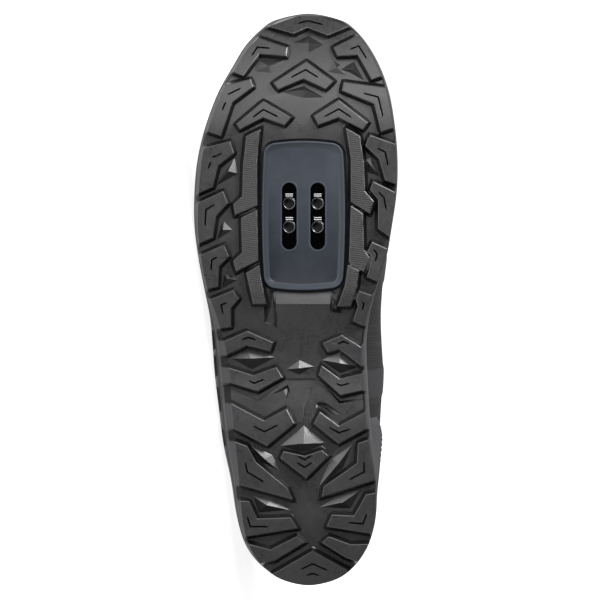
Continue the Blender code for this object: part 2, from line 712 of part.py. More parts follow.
def make_outsole():
    """Rubber tray: lugs, rails, web and its wrap up the side, open at the cleat window."""
    tread = sole_loop(0.0)
    wrap = sole_loop(sidewall_share)
    window = rounded_plate(plate_gap)
    shapes = []
    for polygon in list(RAISED.values()) + list(SUNK.values()):
        shapes += [polygon, grown(polygon, lug_draft)]
    shapes += [corners[:4] for corners in POINTED.values()]
    peaks = [corners[4] for corners in POINTED.values()]
    verts, faces = fill([tread, window], shapes, peaks)
    body = Body()
    used = sorted({i for face in faces for i in face})
    bottom = {}
    for index in used:
        spot = verts[index]
        height = rubber_top(spot.x) - web_thickness - relief(spot)
        bottom[index] = body.mesh.verts.new((spot.x, spot.y, height))
    sides = {}
    for face in faces:
        body.face([bottom[i] for i in face])
        for a, b in zip(face, face[1:] + face[:1]):
            sides.setdefault(frozenset((a, b)), []).append((a, b))
    rims = [pair[0] for pair in sides.values() if len(pair) == 1]
    follow = dict(rims)
    upper_vert = {}
    rings = []
    while follow:
        here = next(iter(follow))
        loop = []
        while here in follow:
            loop.append(here)
            here = follow.pop(here)
        ring = []
        for index in loop:
            spot = verts[index]
            at_edge, span, t = edge_distance(spot, tread)
            if at_edge < edge_distance(spot, window)[0]:
                spot = wrap[span].lerp(wrap[(span + 1) % len(wrap)], t)
            upper_vert[index] = body.mesh.verts.new((spot.x, spot.y, rubber_top(spot.x)))
            ring.append(upper_vert[index])
        rings.append(ring)
    for a, b in rims:
        body.face((bottom[b], bottom[a], upper_vert[a], upper_vert[b]))
    rings.sort(key=len, reverse=True)
    body.cap(rings, rubber_top, LID_SPACING, LID_MARGIN)
    return body.finish("outsole", material("sole_rubber", (0.062, 0.062, 0.066), 0.62))


def notch(point, side):
    """Depth of the side recesses at a point of the lateral edge."""
    if side > 0:
        return 0.0
    depth = 0.0
    for along, length in NOTCHES:
        away = abs(point.x - along * sole_length)
        depth = max(depth, notch_depth * smoothstep((length / 2 - away) / (length / 4)))
    return depth


def make_midsole():
    """Foam band between rubber and upper, with side recesses and a pocket for the plate."""
    last = (len(PLAN) + 1) * POINTS_PER_SPAN
    wrap, full = sole_loop(sidewall_share), sole_loop(1.0)
    body = Body()
    rings = []
    for out, up, notched in MIDSOLE_SIDE:
        points = []
        for index, (a, b) in enumerate(zip(wrap, full)):
            spot = a.lerp(b, out)
            spot += (a - b).normalized() * notch(spot, -1 if index < last else 1) * notched
            low = rubber_top(spot.x) + clearance
            points.append(Vector((spot.x, spot.y, low + (sole_top(spot.x) - low) * up)))
        rings.append(body.ring(points))
    for low, high in zip(rings, rings[1:]):
        body.strip(low, high)
    pocket = rounded_plate(flange_width + clearance)
    mouth = body.ring(draped(pocket, lambda x: rubber_top(x) + clearance))
    ceiling = body.ring(with_height(pocket, pocket_top()))
    body.strip(mouth, ceiling)
    body.cap([rings[0], mouth], lambda x: rubber_top(x) + clearance, LID_SPACING, LID_MARGIN)
    body.cap([ceiling], lambda x: pocket_top(), 0.0, 0.0)
    body.cap([rings[-1]], sole_top, LID_SPACING, LID_MARGIN)
    return body.finish("midsole", material("midsole_foam", (0.13, 0.13, 0.137), 0.70))


def plate_top():
    """Upper face of the cleat plate, under the nut plate."""
    return plate_floor_height + plate_thickness


def flange_low():
    """Lower face of the plate's flange, which the rubber's window edge holds."""
    return lug_depth + web_thickness + clearance


def pocket_top():
    """Ceiling of the midsole's pocket, over the nut plate."""
    return max(plate_top() + nut_plate_thickness + clearance, flange_low() + flange_thickness) + clearance


def make_cleat_plate():
    """Nylon tray with a bevelled rim, a flat floor and two slots."""
    body = Body()
    slots = [slot_outline(side) for side in (-1, 1)]
    flange_high = flange_low() + flange_thickness
    floor = body.ring(with_height(rounded_plate(-plate_bevel), plate_floor_height))
    rim = body.ring(with_height(rounded_plate(-plate_rim_round), plate_rim_height))
    edge = body.ring(with_height(rounded_plate(0.0), plate_rim_height + plate_rim_round))
    neck = body.ring(with_height(rounded_plate(0.0), flange_low()))
    flange = body.ring(with_height(rounded_plate(flange_width), flange_low()))
    lid = body.ring(with_height(rounded_plate(flange_width), flange_high))
    seat = body.ring(with_height(rounded_plate(-plate_bevel), flange_high))
    deck = body.ring(with_height(rounded_plate(-plate_bevel), plate_top()))
    rings = [floor, rim, edge, neck, flange, lid, seat, deck]
    for low, high in zip(rings, rings[1:]):
        body.strip(low, high)
    low_slots = [body.ring(with_height(slot, plate_floor_height)) for slot in slots]
    high_slots = [body.ring(with_height(slot, plate_top())) for slot in slots]
    for low, high in zip(low_slots, high_slots):
        body.strip(low, high)
    body.cap([floor] + low_slots, lambda x: plate_floor_height, 0.0, 0.0)
    body.cap([deck] + high_slots, lambda x: plate_top(), 0.0, 0.0)
    return body.finish("cleat_plate", material("plate_nylon", (0.085, 0.095, 0.112), 0.45))


def make_cleat_nuts():
    """Steel plate behind the slots, with four threaded barrels that stand in them."""
    body = Body()
    centre = place((plate_along, plate_across)) + Vector((slot_shift, 0.0))
    low = plate_top() + clearance
    high = low + nut_plate_thickness
    tip = plate_top() - nut_height
    half_x, half_y = nut_plate_length / 2, nut_plate_width / 2
    corner = nut_plate_corner
    outline = []
    for quarter in range(4):
        sign_x = 1 if quarter in (0, 3) else -1
        sign_y = 1 if quarter in (0, 1) else -1
        for step in range(5):
            angle = math.radians(90.0 * quarter + 22.5 * step)
            outline.append(centre + Vector((sign_x * (half_x - corner) + corner * math.cos(angle),
                                            sign_y * (half_y - corner) + corner * math.sin(angle))))
    base = body.ring(with_height(outline, low))
    lid = body.ring(with_height(outline, high))
    body.strip(base, lid)
    roots, mouths = [], []
    for side_x in (-1, 1):
        for side_y in (-1, 1):
            spot = centre + Vector((side_x * nut_pitch / 2 + nut_shift, side_y * slot_spacing / 2))
            barrel = round_points(spot, nut_outer / 2, 16)
            bore = round_points(spot, nut_bore / 2, 16)
            root = body.ring(with_height(barrel, low))
            shoulder = body.ring(with_height(barrel, tip))
            lip = body.ring(with_height(bore, tip))
            mouth = body.ring(with_height(bore, high))
            body.strip(root, shoulder)
            body.strip(shoulder, lip)
            body.strip(lip, mouth)
            roots.append(root)
            mouths.append(mouth)
    body.cap([base] + roots, lambda x: low, 0.0, 0.0)
    body.cap([lid] + mouths, lambda x: high, 0.0, 0.0)
    return body.finish("cleat_nuts", material("nut_steel", (0.22, 0.22, 0.23), 0.32, 1.0))


def column_places():
    """Places around the upper where its side curves stand, each table row among them."""
    half = ARCS[-1][-1][0]
    places = [TOP_LINE[0][0]]
    for a, b in zip(TOP_LINE, TOP_LINE[1:]):
        count = max(1, round((b[0] - a[0]) * half / COLUMN_SPACING))
        places += [a[0] + (b[0] - a[0]) * (i + 1) / count for i in range(count)]
    return places


def top_point(side, around):
    """The upper's top line or ridge at a place around it."""
    along = table_value(TOP_LINE, 1, around)
    height = (toe_height * table_value(TOP_LINE, 2, around)
              + instep_height * table_value(TOP_LINE, 3, around)
              + heel_height * table_value(TOP_LINE, 4, around))
    half_gap = 0.0
    if around > THROAT_AROUND:
        half_gap = (throat_width * table_value(TOP_LINE, 5, around)
                    + collar_width * table_value(TOP_LINE, 6, around))
    ridge = table_value(RIDGE, 1, along) * width_unit(along)
    return Vector((along * sole_length, ridge + side * half_gap, height))


def side_bulge(side, around):
    """How far the side stands out past the edge of the sole. The medial side has one swell at the arch."""
    line = table_value(SIDE_CURVE, 3 if side > 0 else 2, around) * ball_width
    reach = min(1.0, abs(around - arch_swell_at) / arch_swell_reach)
    swell = arch_swell * math.cos(0.5 * math.pi * reach) ** 2 if side > 0 else 0.0
    return line + swell


def upper_point(side, around, up):
    """A point of the upper's outer face: around from toe to heel, up from sole to top line."""
    position = position_around(side, around)
    edge = outline_point(side, True, position)
    ahead = outline_point(side, True, min(position + OUTLINE_STEP, len(PLAN) + 1.0))
    behind = outline_point(side, True, max(position - OUTLINE_STEP, 0.0))
    run = (ahead - behind).normalized()
    outward = Vector((run.y, -run.x)) * side
    if around in (0.0, 1.0):
        edge = outline_point(-1, True, 0.0 if around == 0.0 else len(PLAN) + 1.0)
        outward = Vector((1.0 if around == 0.0 else -1.0, 0.0))
    foot = edge - outward * feather_inset
    start = Vector((foot.x, foot.y, sole_top(edge.x) + clearance))
    top = top_point(side, around)
    rise = table_value(SIDE_CURVE, 1, around)
    bulge = side_bulge(side, around)
    roof = table_value(SIDE_CURVE, 4, around)
    hang = table_value(SIDE_CURVE, 5, around)
    height = top.z - start.z
    flat = Vector((start.x - top.x, start.y - top.y, 0.0))
    first = start + Vector((outward.x * bulge, outward.y * bulge, height * rise))
    second = top + flat * roof - Vector((0.0, 0.0, height * hang))
    return (start * (1 - up)**3 + first * 3 * up * (1 - up)**2
            + second * 3 * up * up * (1 - up) + top * up**3)


COLUMNS = column_places()
GRID = {side: [[upper_point(side, around, row / ROWS_UP) for row in range(ROWS_UP + 1)]
               for around in COLUMNS] for side in (-1, 1)}


def facet_point(side, around, up):
    """A point on the upper's faceted outer face, between its columns and rows."""
    around = min(max(around, COLUMNS[0]), COLUMNS[-1])
    spot = next(i for i in range(len(COLUMNS) - 1) if COLUMNS[i + 1] >= around)
    t = (around - COLUMNS[spot]) / (COLUMNS[spot + 1] - COLUMNS[spot])
    row = min(int(up * ROWS_UP), ROWS_UP - 1)
    u = up * ROWS_UP - row
    low = GRID[side][spot][row].lerp(GRID[side][spot + 1][row], t)
    high = GRID[side][spot][row + 1].lerp(GRID[side][spot + 1][row + 1], t)
    return low.lerp(high, u)


def side_normal(side, around, up):
    """Outward normal of one side's outer face."""
    low, high = max(around - NORMAL_STEP_AROUND, 0.0), min(around + NORMAL_STEP_AROUND, 1.0)
    below, above = max(up - NORMAL_STEP_UP, 0.0), min(up + NORMAL_STEP_UP, 1.0)
    run = upper_point(side, high, up) - upper_point(side, low, up)
    rise = upper_point(side, around, above) - upper_point(side, around, below)
    return (run.cross(rise) * side).normalized()


def upper_normal(side, around, up):
    """Outward normal of the upper, shared by both sides where they meet."""
    meets = around <= 0.0 or around >= 1.0 or (around <= THROAT_AROUND + 1e-9 and up > 0.999)
    normal = side_normal(side, around, up)
    if meets:
        normal = normal + side_normal(-side, around, up)
    return normal.normalized()


def skin_point(side, around, up, out):
    """A point at a distance out of the upper's faceted outer face (negative is inside)."""
    return facet_point(side, around, up) + upper_normal(side, around, up) * out


def wall_at(around, up):
    """Thickness of the upper's wall, padded at the collar."""
    behind = smoothstep((around - CORNER_AROUND + PAD_LEAD) / PAD_LEAD)
    near_top = smoothstep((up - PAD_START_UP) / (PAD_FULL_UP - PAD_START_UP))
    return upper_wall + collar_pad * behind * near_top


def make_upper():
    """The hollow upper: toe box, vamp, quarters and padded collar in one wall."""
    body = Body()
    outer, inner = {}, {}
    for side in (-1, 1):
        for column, around in enumerate(COLUMNS):
            for row in range(ROWS_UP + 1):
                up = row / ROWS_UP
                spot = GRID[side][column][row]
                back = spot - upper_normal(side, around, up) * wall_at(around, up)
                if row == 0:
                    back.z = spot.z
                outer[side, column, row] = body.mesh.verts.new(spot)
                inner[side, column, row] = body.mesh.verts.new(back)
    last = len(COLUMNS) - 1
    for side in (-1, 1):
        for column in range(last):
            for row in range(ROWS_UP):
                for grid in (outer, inner):
                    body.face((grid[side, column, row], grid[side, column + 1, row],
                               grid[side, column + 1, row + 1], grid[side, column, row + 1]))
            body.face((outer[side, column, 0], outer[side, column + 1, 0],
                       inner[side, column + 1, 0], inner[side, column, 0]))
            if COLUMNS[column] >= THROAT_AROUND - 1e-9:
                body.face((outer[side, column, ROWS_UP], outer[side, column + 1, ROWS_UP],
                           inner[side, column + 1, ROWS_UP], inner[side, column, ROWS_UP]))
    return body.finish("upper", material("upper_textile", (0.040, 0.041, 0.046), 0.80))


def overlay(name, span, thickness, colour, roughness, rows=5):
    """A thin piece that lies on the upper on both sides, up to a top line given by a table."""
    body = Body()
    wanted = [c for c in COLUMNS if span[0][0] <= c <= span[-1][0]]
    wanted = sorted(set(wanted + [span[0][0], span[-1][0]]))
    ends_open = span[0][0] > 0.0
    lines = {-1: [], 1: []}
    for side in (-1, 1):
        for around in wanted:
            ups = [table_value(span, 1, around) * row / rows for row in range(rows + 1)]
            front = [skin_point(side, around, up, overlay_gap + thickness) for up in ups]
            back = [skin_point(side, around, up, overlay_gap) for up in ups]
            front[0].z = back[0].z
            lines[side].append(body.ring(front + list(reversed(back))))
    for side in (-1, 1):
        for a, b in zip(lines[side], lines[side][1:]):
            body.strip(a, b)
        end = lines[side][0] if ends_open else lines[side][-1]
        half = len(end) // 2
        for i in range(half - 1):
            body.face((end[i], end[i + 1], end[-2 - i], end[-1 - i]))
    return body.finish(name, material(name + "_film", colour, roughness))


def make_insole():
    """Footbed inside the upper's foot line."""
    body = Body()
    inset = feather_inset + upper_wall + insole_gap
    full = sole_loop(1.0)
    outline = grown(full, -inset)
    base = 2 * clearance
    low = body.ring(draped(outline, lambda x: sole_top(x) + base))
    lid = grown(full, -inset - insole_taper)
    high = body.ring(draped(lid, lambda x: sole_top(x) + base + insole_thickness))
    body.strip(low, high)
    body.cap([low], lambda x: sole_top(x) + base, LID_SPACING, LID_MARGIN)
    body.cap([high], lambda x: sole_top(x) + base + insole_thickness, LID_SPACING, LID_MARGIN)
    return body.finish("insole", material("insole_foam", (0.075, 0.075, 0.080), 0.9))


def tongue_line(around, out):
    """One line across the tongue, under the edges of the throat."""
    near = smoothstep((around - THROAT_AROUND) / TONGUE_LEAD)
    reach = TONGUE_EDGE_UP + (1.0 - TONGUE_EDGE_UP) * near
    ups = [TONGUE_ROOT_UP + (reach - TONGUE_ROOT_UP) * i / 3 for i in range(4)]
    left = [skin_point(-1, around, up, out) for up in ups]
    right = [skin_point(1, around, up, out) for up in ups]
    edges = [skin_point(side, around, reach, -upper_wall) for side in (-1, 1)]
    middle = []
    for share in (0.2, 0.4, 0.6, 0.8):
        spot = edges[0].lerp(edges[1], share)
        spot.z += tongue_crown * 4 * share * (1 - share) + (out + upper_wall * near)
        middle.append(spot)
    return left + middle + list(reversed(right))


def make_tongue():
    """Padded tongue under the throat, from the vamp to above the top corners."""
    body = Body()
    places = [c for c in COLUMNS if THROAT_AROUND - TONGUE_LEAD <= c <= CORNER_AROUND + 1e-9]
    depths = [wall_at(around, 1.0) + tongue_gap for around in places]
    tops = [tongue_line(around, -depth) for around, depth in zip(places, depths)]
    lows = [tongue_line(around, -depth - tongue_thickness) for around, depth in zip(places, depths)]
    rise = [(a - b).normalized() for a, b in zip(tops[-1], tops[-3])]
    middle = rise[len(rise) // 2]
    for step in (0.5, 1.0):
        tops.append([p + middle * tongue_rise * step for p in tops[len(places) - 1]])
        lows.append([p + middle * tongue_rise * step for p in lows[len(places) - 1]])
    rings = [body.ring(t + list(reversed(l))) for t, l in zip(tops, lows)]
    for a, b in zip(rings, rings[1:]):
        body.strip(a, b)
    for end in (rings[0], rings[-1]):
        half = len(end) // 2
        for i in range(half - 1):
            body.face((end[i], end[i + 1], end[-2 - i], end[-1 - i]))
    return body.finish("tongue", material("tongue_textile", (0.045, 0.046, 0.050), 0.85))


def make_strap(name, around, lateral_reach, medial_reach):
    """One strap over the throat, lying on the upper's sides and over the tongue."""
    body = Body()
    half_width = strap_width / 2 / ARCS[-1][-1][0] * STRAP_SPREAD
    left_ups = [lateral_reach + (1.0 - lateral_reach) * i / 8 for i in range(9)]
    right_ups = [medial_reach + (1.0 - medial_reach) * i / 6 for i in range(7)]
    places = [around - half_width + 2 * half_width * i / 4 for i in range(5)]
    lines = []
    for place_around in places:
        rows = []
        for out in (overlay_gap, overlay_gap + strap_thickness):
            left = [skin_point(-1, place_around, up, out) for up in left_ups]
            right = [skin_point(1, place_around, up, out) for up in right_ups]
            middle = []
            for share in (0.25, 0.5, 0.75):
                spot = left[-1].lerp(right[-1], share)
                spot.z += strap_crown * 4 * share * (1 - share)
                middle.append(spot)
            rows.append(left + middle + list(reversed(right)))
        lines.append(rows[1] + list(reversed(rows[0])))
    rings = [body.ring(line) for line in lines]
    for a, b in zip(rings, rings[1:]):
        body.strip(a, b)
    for end in (rings[0], rings[-1]):
        count = len(end) // 2
        for i in range(count - 1):
            body.face((end[i], end[i + 1], end[-2 - i], end[-1 - i]))
    return body.finish(name, material(name + "_web", (0.050, 0.050, 0.054), 0.75))


def lay_down(pieces):
    """Turns the standing shoe onto its lateral side, on the facet of its hull that carries it."""
    turn = Matrix(((-1, 0, 0), (0, 0, 1), (0, 1, 0))).to_4x4()
    hull = bmesh.new()
    centre, weight = Vector((0, 0, 0)), 0.0
    for piece in pieces:
        for vert in piece.data.vertices:
            hull.verts.new(turn @ vert.co)
        for tri in piece.data.polygons:
            corners = [turn @ piece.data.vertices[i].co for i in tri.vertices]
            for b, c in zip(corners[1:], corners[2:]):
                volume = corners[0].dot(b.cross(c)) / 6.0
                centre += (corners[0] + b + c) * (volume / 4.0)
                weight += volume
    centre /= weight
    bmesh.ops.convex_hull(hull, input=hull.verts)
    bmesh.ops.triangulate(hull, faces=list(hull.faces))
    best, best_score = None, None
    for face in hull.faces:
        normal = face.normal.copy()
        if normal.dot(face.calc_center_median() - centre) < 0:
            normal.negate()
        if normal.z > -0.8:
            continue
        a, b, c = (v.co for v in face.verts)
        foot = centre + normal * (a - centre).dot(normal)
        whole = (b - a).cross(c - a).normalized()
        score = min((q - p).normalized().cross(foot - p).dot(whole)
                    for p, q in ((b, c), (c, a), (a, b)))
        if best_score is None or score > best_score:
            best, best_score = (normal, a.copy()), score
    hull.free()
    normal, touch = best
    rest = normal.rotation_difference(Vector((0, 0, -1))).to_matrix().to_4x4()
    toe_way = rest @ turn @ Vector((1, 0, 0))
    yaw = Matrix.Rotation(math.pi - math.atan2(toe_way.y, toe_way.x), 4, "Z")
    whole = yaw @ rest @ turn
    lows = [whole @ v.co for piece in pieces for v in piece.data.vertices]
    shift = Vector(((min(p.x for p in lows) + max(p.x for p in lows)) / -2,
                    (min(p.y for p in lows) + max(p.y for p in lows)) / -2,
                    -min(p.z for p in lows)))
    holder = bpy.data.objects.new("shoe_on_its_side", None)
    bpy.context.scene.collection.objects.link(holder)
    holder.matrix_world = Matrix.Translation(shift) @ whole
    for piece in pieces:
        piece.parent = holder


pieces = [
    make_outsole(),
    make_midsole(),
    make_cleat_plate(),
    make_cleat_nuts(),
    make_upper(),
    overlay("toe_cap", TOE_CAP_TOP, toe_cap_thickness, (0.055, 0.055, 0.060), 0.5),
    overlay("heel_counter", COUNTER_TOP, counter_thickness, (0.055, 0.055, 0.060), 0.5),
    make_insole(),
    make_tongue(),
]
for strap, (around, lateral_reach, medial_reach) in STRAPS.items():
    pieces.append(make_strap(strap, around, lateral_reach, medial_reach))
lay_down(pieces)
bpy.context.view_layer.update()
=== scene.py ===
import json
import math

import bmesh
import bpy
from mathutils import Matrix, Vector
from mathutils.geometry import delaunay_2d_cdt


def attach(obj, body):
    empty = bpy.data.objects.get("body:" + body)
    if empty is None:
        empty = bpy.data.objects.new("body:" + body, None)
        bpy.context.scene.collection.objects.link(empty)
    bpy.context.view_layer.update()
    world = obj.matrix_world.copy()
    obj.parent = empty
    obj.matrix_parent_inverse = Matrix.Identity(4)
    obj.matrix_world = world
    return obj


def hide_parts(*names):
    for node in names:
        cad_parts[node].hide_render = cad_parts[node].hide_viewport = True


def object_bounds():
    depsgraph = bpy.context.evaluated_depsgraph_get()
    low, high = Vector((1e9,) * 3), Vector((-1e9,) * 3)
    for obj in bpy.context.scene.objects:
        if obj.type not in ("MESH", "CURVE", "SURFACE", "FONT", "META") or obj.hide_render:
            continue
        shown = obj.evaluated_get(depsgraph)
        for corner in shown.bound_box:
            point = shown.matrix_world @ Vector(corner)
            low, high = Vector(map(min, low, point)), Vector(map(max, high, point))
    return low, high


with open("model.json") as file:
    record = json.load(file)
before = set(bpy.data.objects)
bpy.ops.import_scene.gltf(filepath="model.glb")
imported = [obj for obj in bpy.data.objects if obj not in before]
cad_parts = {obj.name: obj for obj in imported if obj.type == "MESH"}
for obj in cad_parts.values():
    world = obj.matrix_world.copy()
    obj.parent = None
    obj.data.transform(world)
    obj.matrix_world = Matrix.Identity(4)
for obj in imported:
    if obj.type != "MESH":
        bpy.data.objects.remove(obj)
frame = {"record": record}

cad_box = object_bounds()
MILLIMETRE = 0.001

# Sizes of the sole, as in the solids
sole_length = 0.292
ball_width = 0.1035
heel_width = 0.0715
heel_stack = 0.0260
ball_stack = 0.0180
toe_spring = 0.0170
arch_rise = 0.0040
heel_bevel = 0.0050
web_thickness = 0.0030
lug_depth = 0.0045
peak_height = 0.0021
pit_depth = 0.0016
sidewall_share = 0.65
notch_depth = 0.0013
clearance = 0.0003

# Sizes of the cleat plate, its slots and nuts
plate_along = 0.644
plate_across = -0.030
plate_length = 0.0740
plate_width = 0.0405
plate_corner = 0.0065
plate_barrel = 0.0009
plate_gap = 0.0013
plate_floor_height = 0.0058
plate_bevel = 0.0030
plate_thickness = 0.0025
flange_width = 0.0020
flange_thickness = 0.0018
slot_spacing = 0.0145
slot_width = 0.0074
slot_length = 0.0340
slot_shift = -0.0003
nut_pitch = 0.0120
nut_outer = 0.0066
nut_bore = 0.0048
nut_height = 0.0016
nut_plate_length = 0.0400
nut_plate_width = 0.0300
nut_plate_thickness = 0.0015
nut_plate_corner = 0.0040

# Sizes of the upper
toe_height = 0.0420
instep_height = 0.0985
heel_height = 0.0915
throat_width = 0.0400
collar_width = 0.0650
upper_wall = 0.0020
lining_share = 0.4
collar_pad = 0.0035
feather_inset = 0.0020
overlay_gap = 0.00045
overlay_thickness = 0.0012
insole_thickness = 0.0035
insole_gap = 0.0012
tongue_thickness = 0.0030
tongue_gap = 0.0009
tongue_rise = 0.0200
tongue_crown = 0.0025
strap_width = 0.0240
strap_thickness = 0.0018
strap_crown = 0.0040

# Fine sizes that the solids leave out
sipe_depth = 0.0011
sipe_half_width = 0.00045
sipe_taper = 0.0010
pit_slope = 0.0012
step_depth = 0.0012
step_half_width = 0.0006
low_peak_height = 0.0010
ramp_depth = 0.0024
slot_lip_width = 0.0011
slot_lip_height = 0.00025
thread_pitch = 0.0005

# Details of the nuts: rounded rims, and the half sizes, corner and foot of the ribs
nut_turns = 28
nut_rounding = 0.00025
nut_rib_half_width = 0.00022
nut_rib_half_length = 0.0019
nut_rib_corner = 0.0001
nut_rib_foot = 0.0005

# Thread stitches
stitch_gap = 0.0030
stitch_length = 0.0021
stitch_radius = 0.00030
seam_inset = 0.035
seam_spacing = 0.0015

# Channels sewn in the tongue: rows from one to the next, depth
tongue_channel_rows = 7
tongue_channel_depth = 0.0007

# A step from one side of a facet's slope to the other
facet_step = (0.00029, 0.00006)

# How far apart the points of the fine meshes stand
outline_step = 10
crease_spacing = 0.0028
web_spacing = 0.0030
web_margin = 0.0008
lid_spacing = 0.009
column_spacing = 0.0028
rows_up = 40

# Sole outline from above: along, then across shares of tread edge and sole edge
PLAN = (
    # along, tread_lateral, tread_medial, edge_lateral, edge_medial
    (0.007, -0.164, 0.150, -0.179, 0.164),
    (0.021, -0.272, 0.257, -0.282, 0.272),
    (0.045, -0.372, 0.350, -0.393, 0.364),
    (0.077, -0.440, 0.425, -0.472, 0.432),
    (0.121, -0.479, 0.461, -0.522, 0.475),
    (0.182, -0.500, 0.461, -0.562, 0.479),
    (0.243, -0.512, 0.411, -0.600, 0.443),
    (0.304, -0.489, 0.343, -0.576, 0.381),
    (0.366, -0.451, 0.292, -0.538, 0.329),
    (0.418, -0.440, 0.267, -0.508, 0.298),
    (0.465, -0.459, 0.275, -0.497, 0.297),
    (0.514, -0.499, 0.314, -0.518, 0.328),
    (0.570, -0.533, 0.368, -0.548, 0.378),
    (0.628, -0.548, 0.397, -0.568, 0.407),
    (0.686, -0.543, 0.417, -0.568, 0.430),
    (0.742, -0.528, 0.422, -0.553, 0.434),
    (0.798, -0.494, 0.407, -0.516, 0.422),
    (0.856, -0.430, 0.378, -0.457, 0.395),
    (0.903, -0.360, 0.331, -0.385, 0.351),
    (0.943, -0.288, 0.271, -0.317, 0.290),
    (0.973, -0.203, 0.198, -0.236, 0.220),
    (0.989, -0.126, 0.119, -0.164, 0.148),
)
HEEL_TIP = (0.000, -0.007, 0.000, -0.007)
TOE_TIP = (0.994, -0.005, 1.000, -0.005)

# Side view of the sole: shares of the named rises, then of the two stacks
PROFILE = (
    # along, toe_spring, arch_rise, heel_bevel, heel_stack, ball_stack
    (0.00, 0.00, 0.00, 1.00, 0.88, 0.00),
    (0.03, 0.00, 0.00, 0.45, 0.93, 0.00),
    (0.07, 0.00, 0.00, 0.08, 0.98, 0.00),
    (0.11, 0.00, 0.00, 0.00, 1.00, 0.00),
    (0.26, 0.00, 0.00, 0.00, 0.97, 0.02),
    (0.32, 0.00, 0.40, 0.00, 0.80, 0.14),
    (0.38, 0.00, 0.90, 0.00, 0.58, 0.30),
    (0.44, 0.00, 0.85, 0.00, 0.38, 0.50),
    (0.50, 0.00, 0.10, 0.00, 0.20, 0.82),
    (0.52, 0.00, 0.00, 0.00, 0.14, 0.90),
    (0.62, 0.00, 0.00, 0.00, 0.00, 1.00),
    (0.78, 0.00, 0.00, 0.00, 0.00, 0.98),
    (0.84, 0.10, 0.00, 0.00, 0.00, 0.94),
    (0.90, 0.35, 0.00, 0.00, 0.00, 0.87),
    (0.95, 0.63, 0.00, 0.00, 0.00, 0.80),
    (1.00, 1.00, 0.00, 0.00, 0.00, 0.72),
)

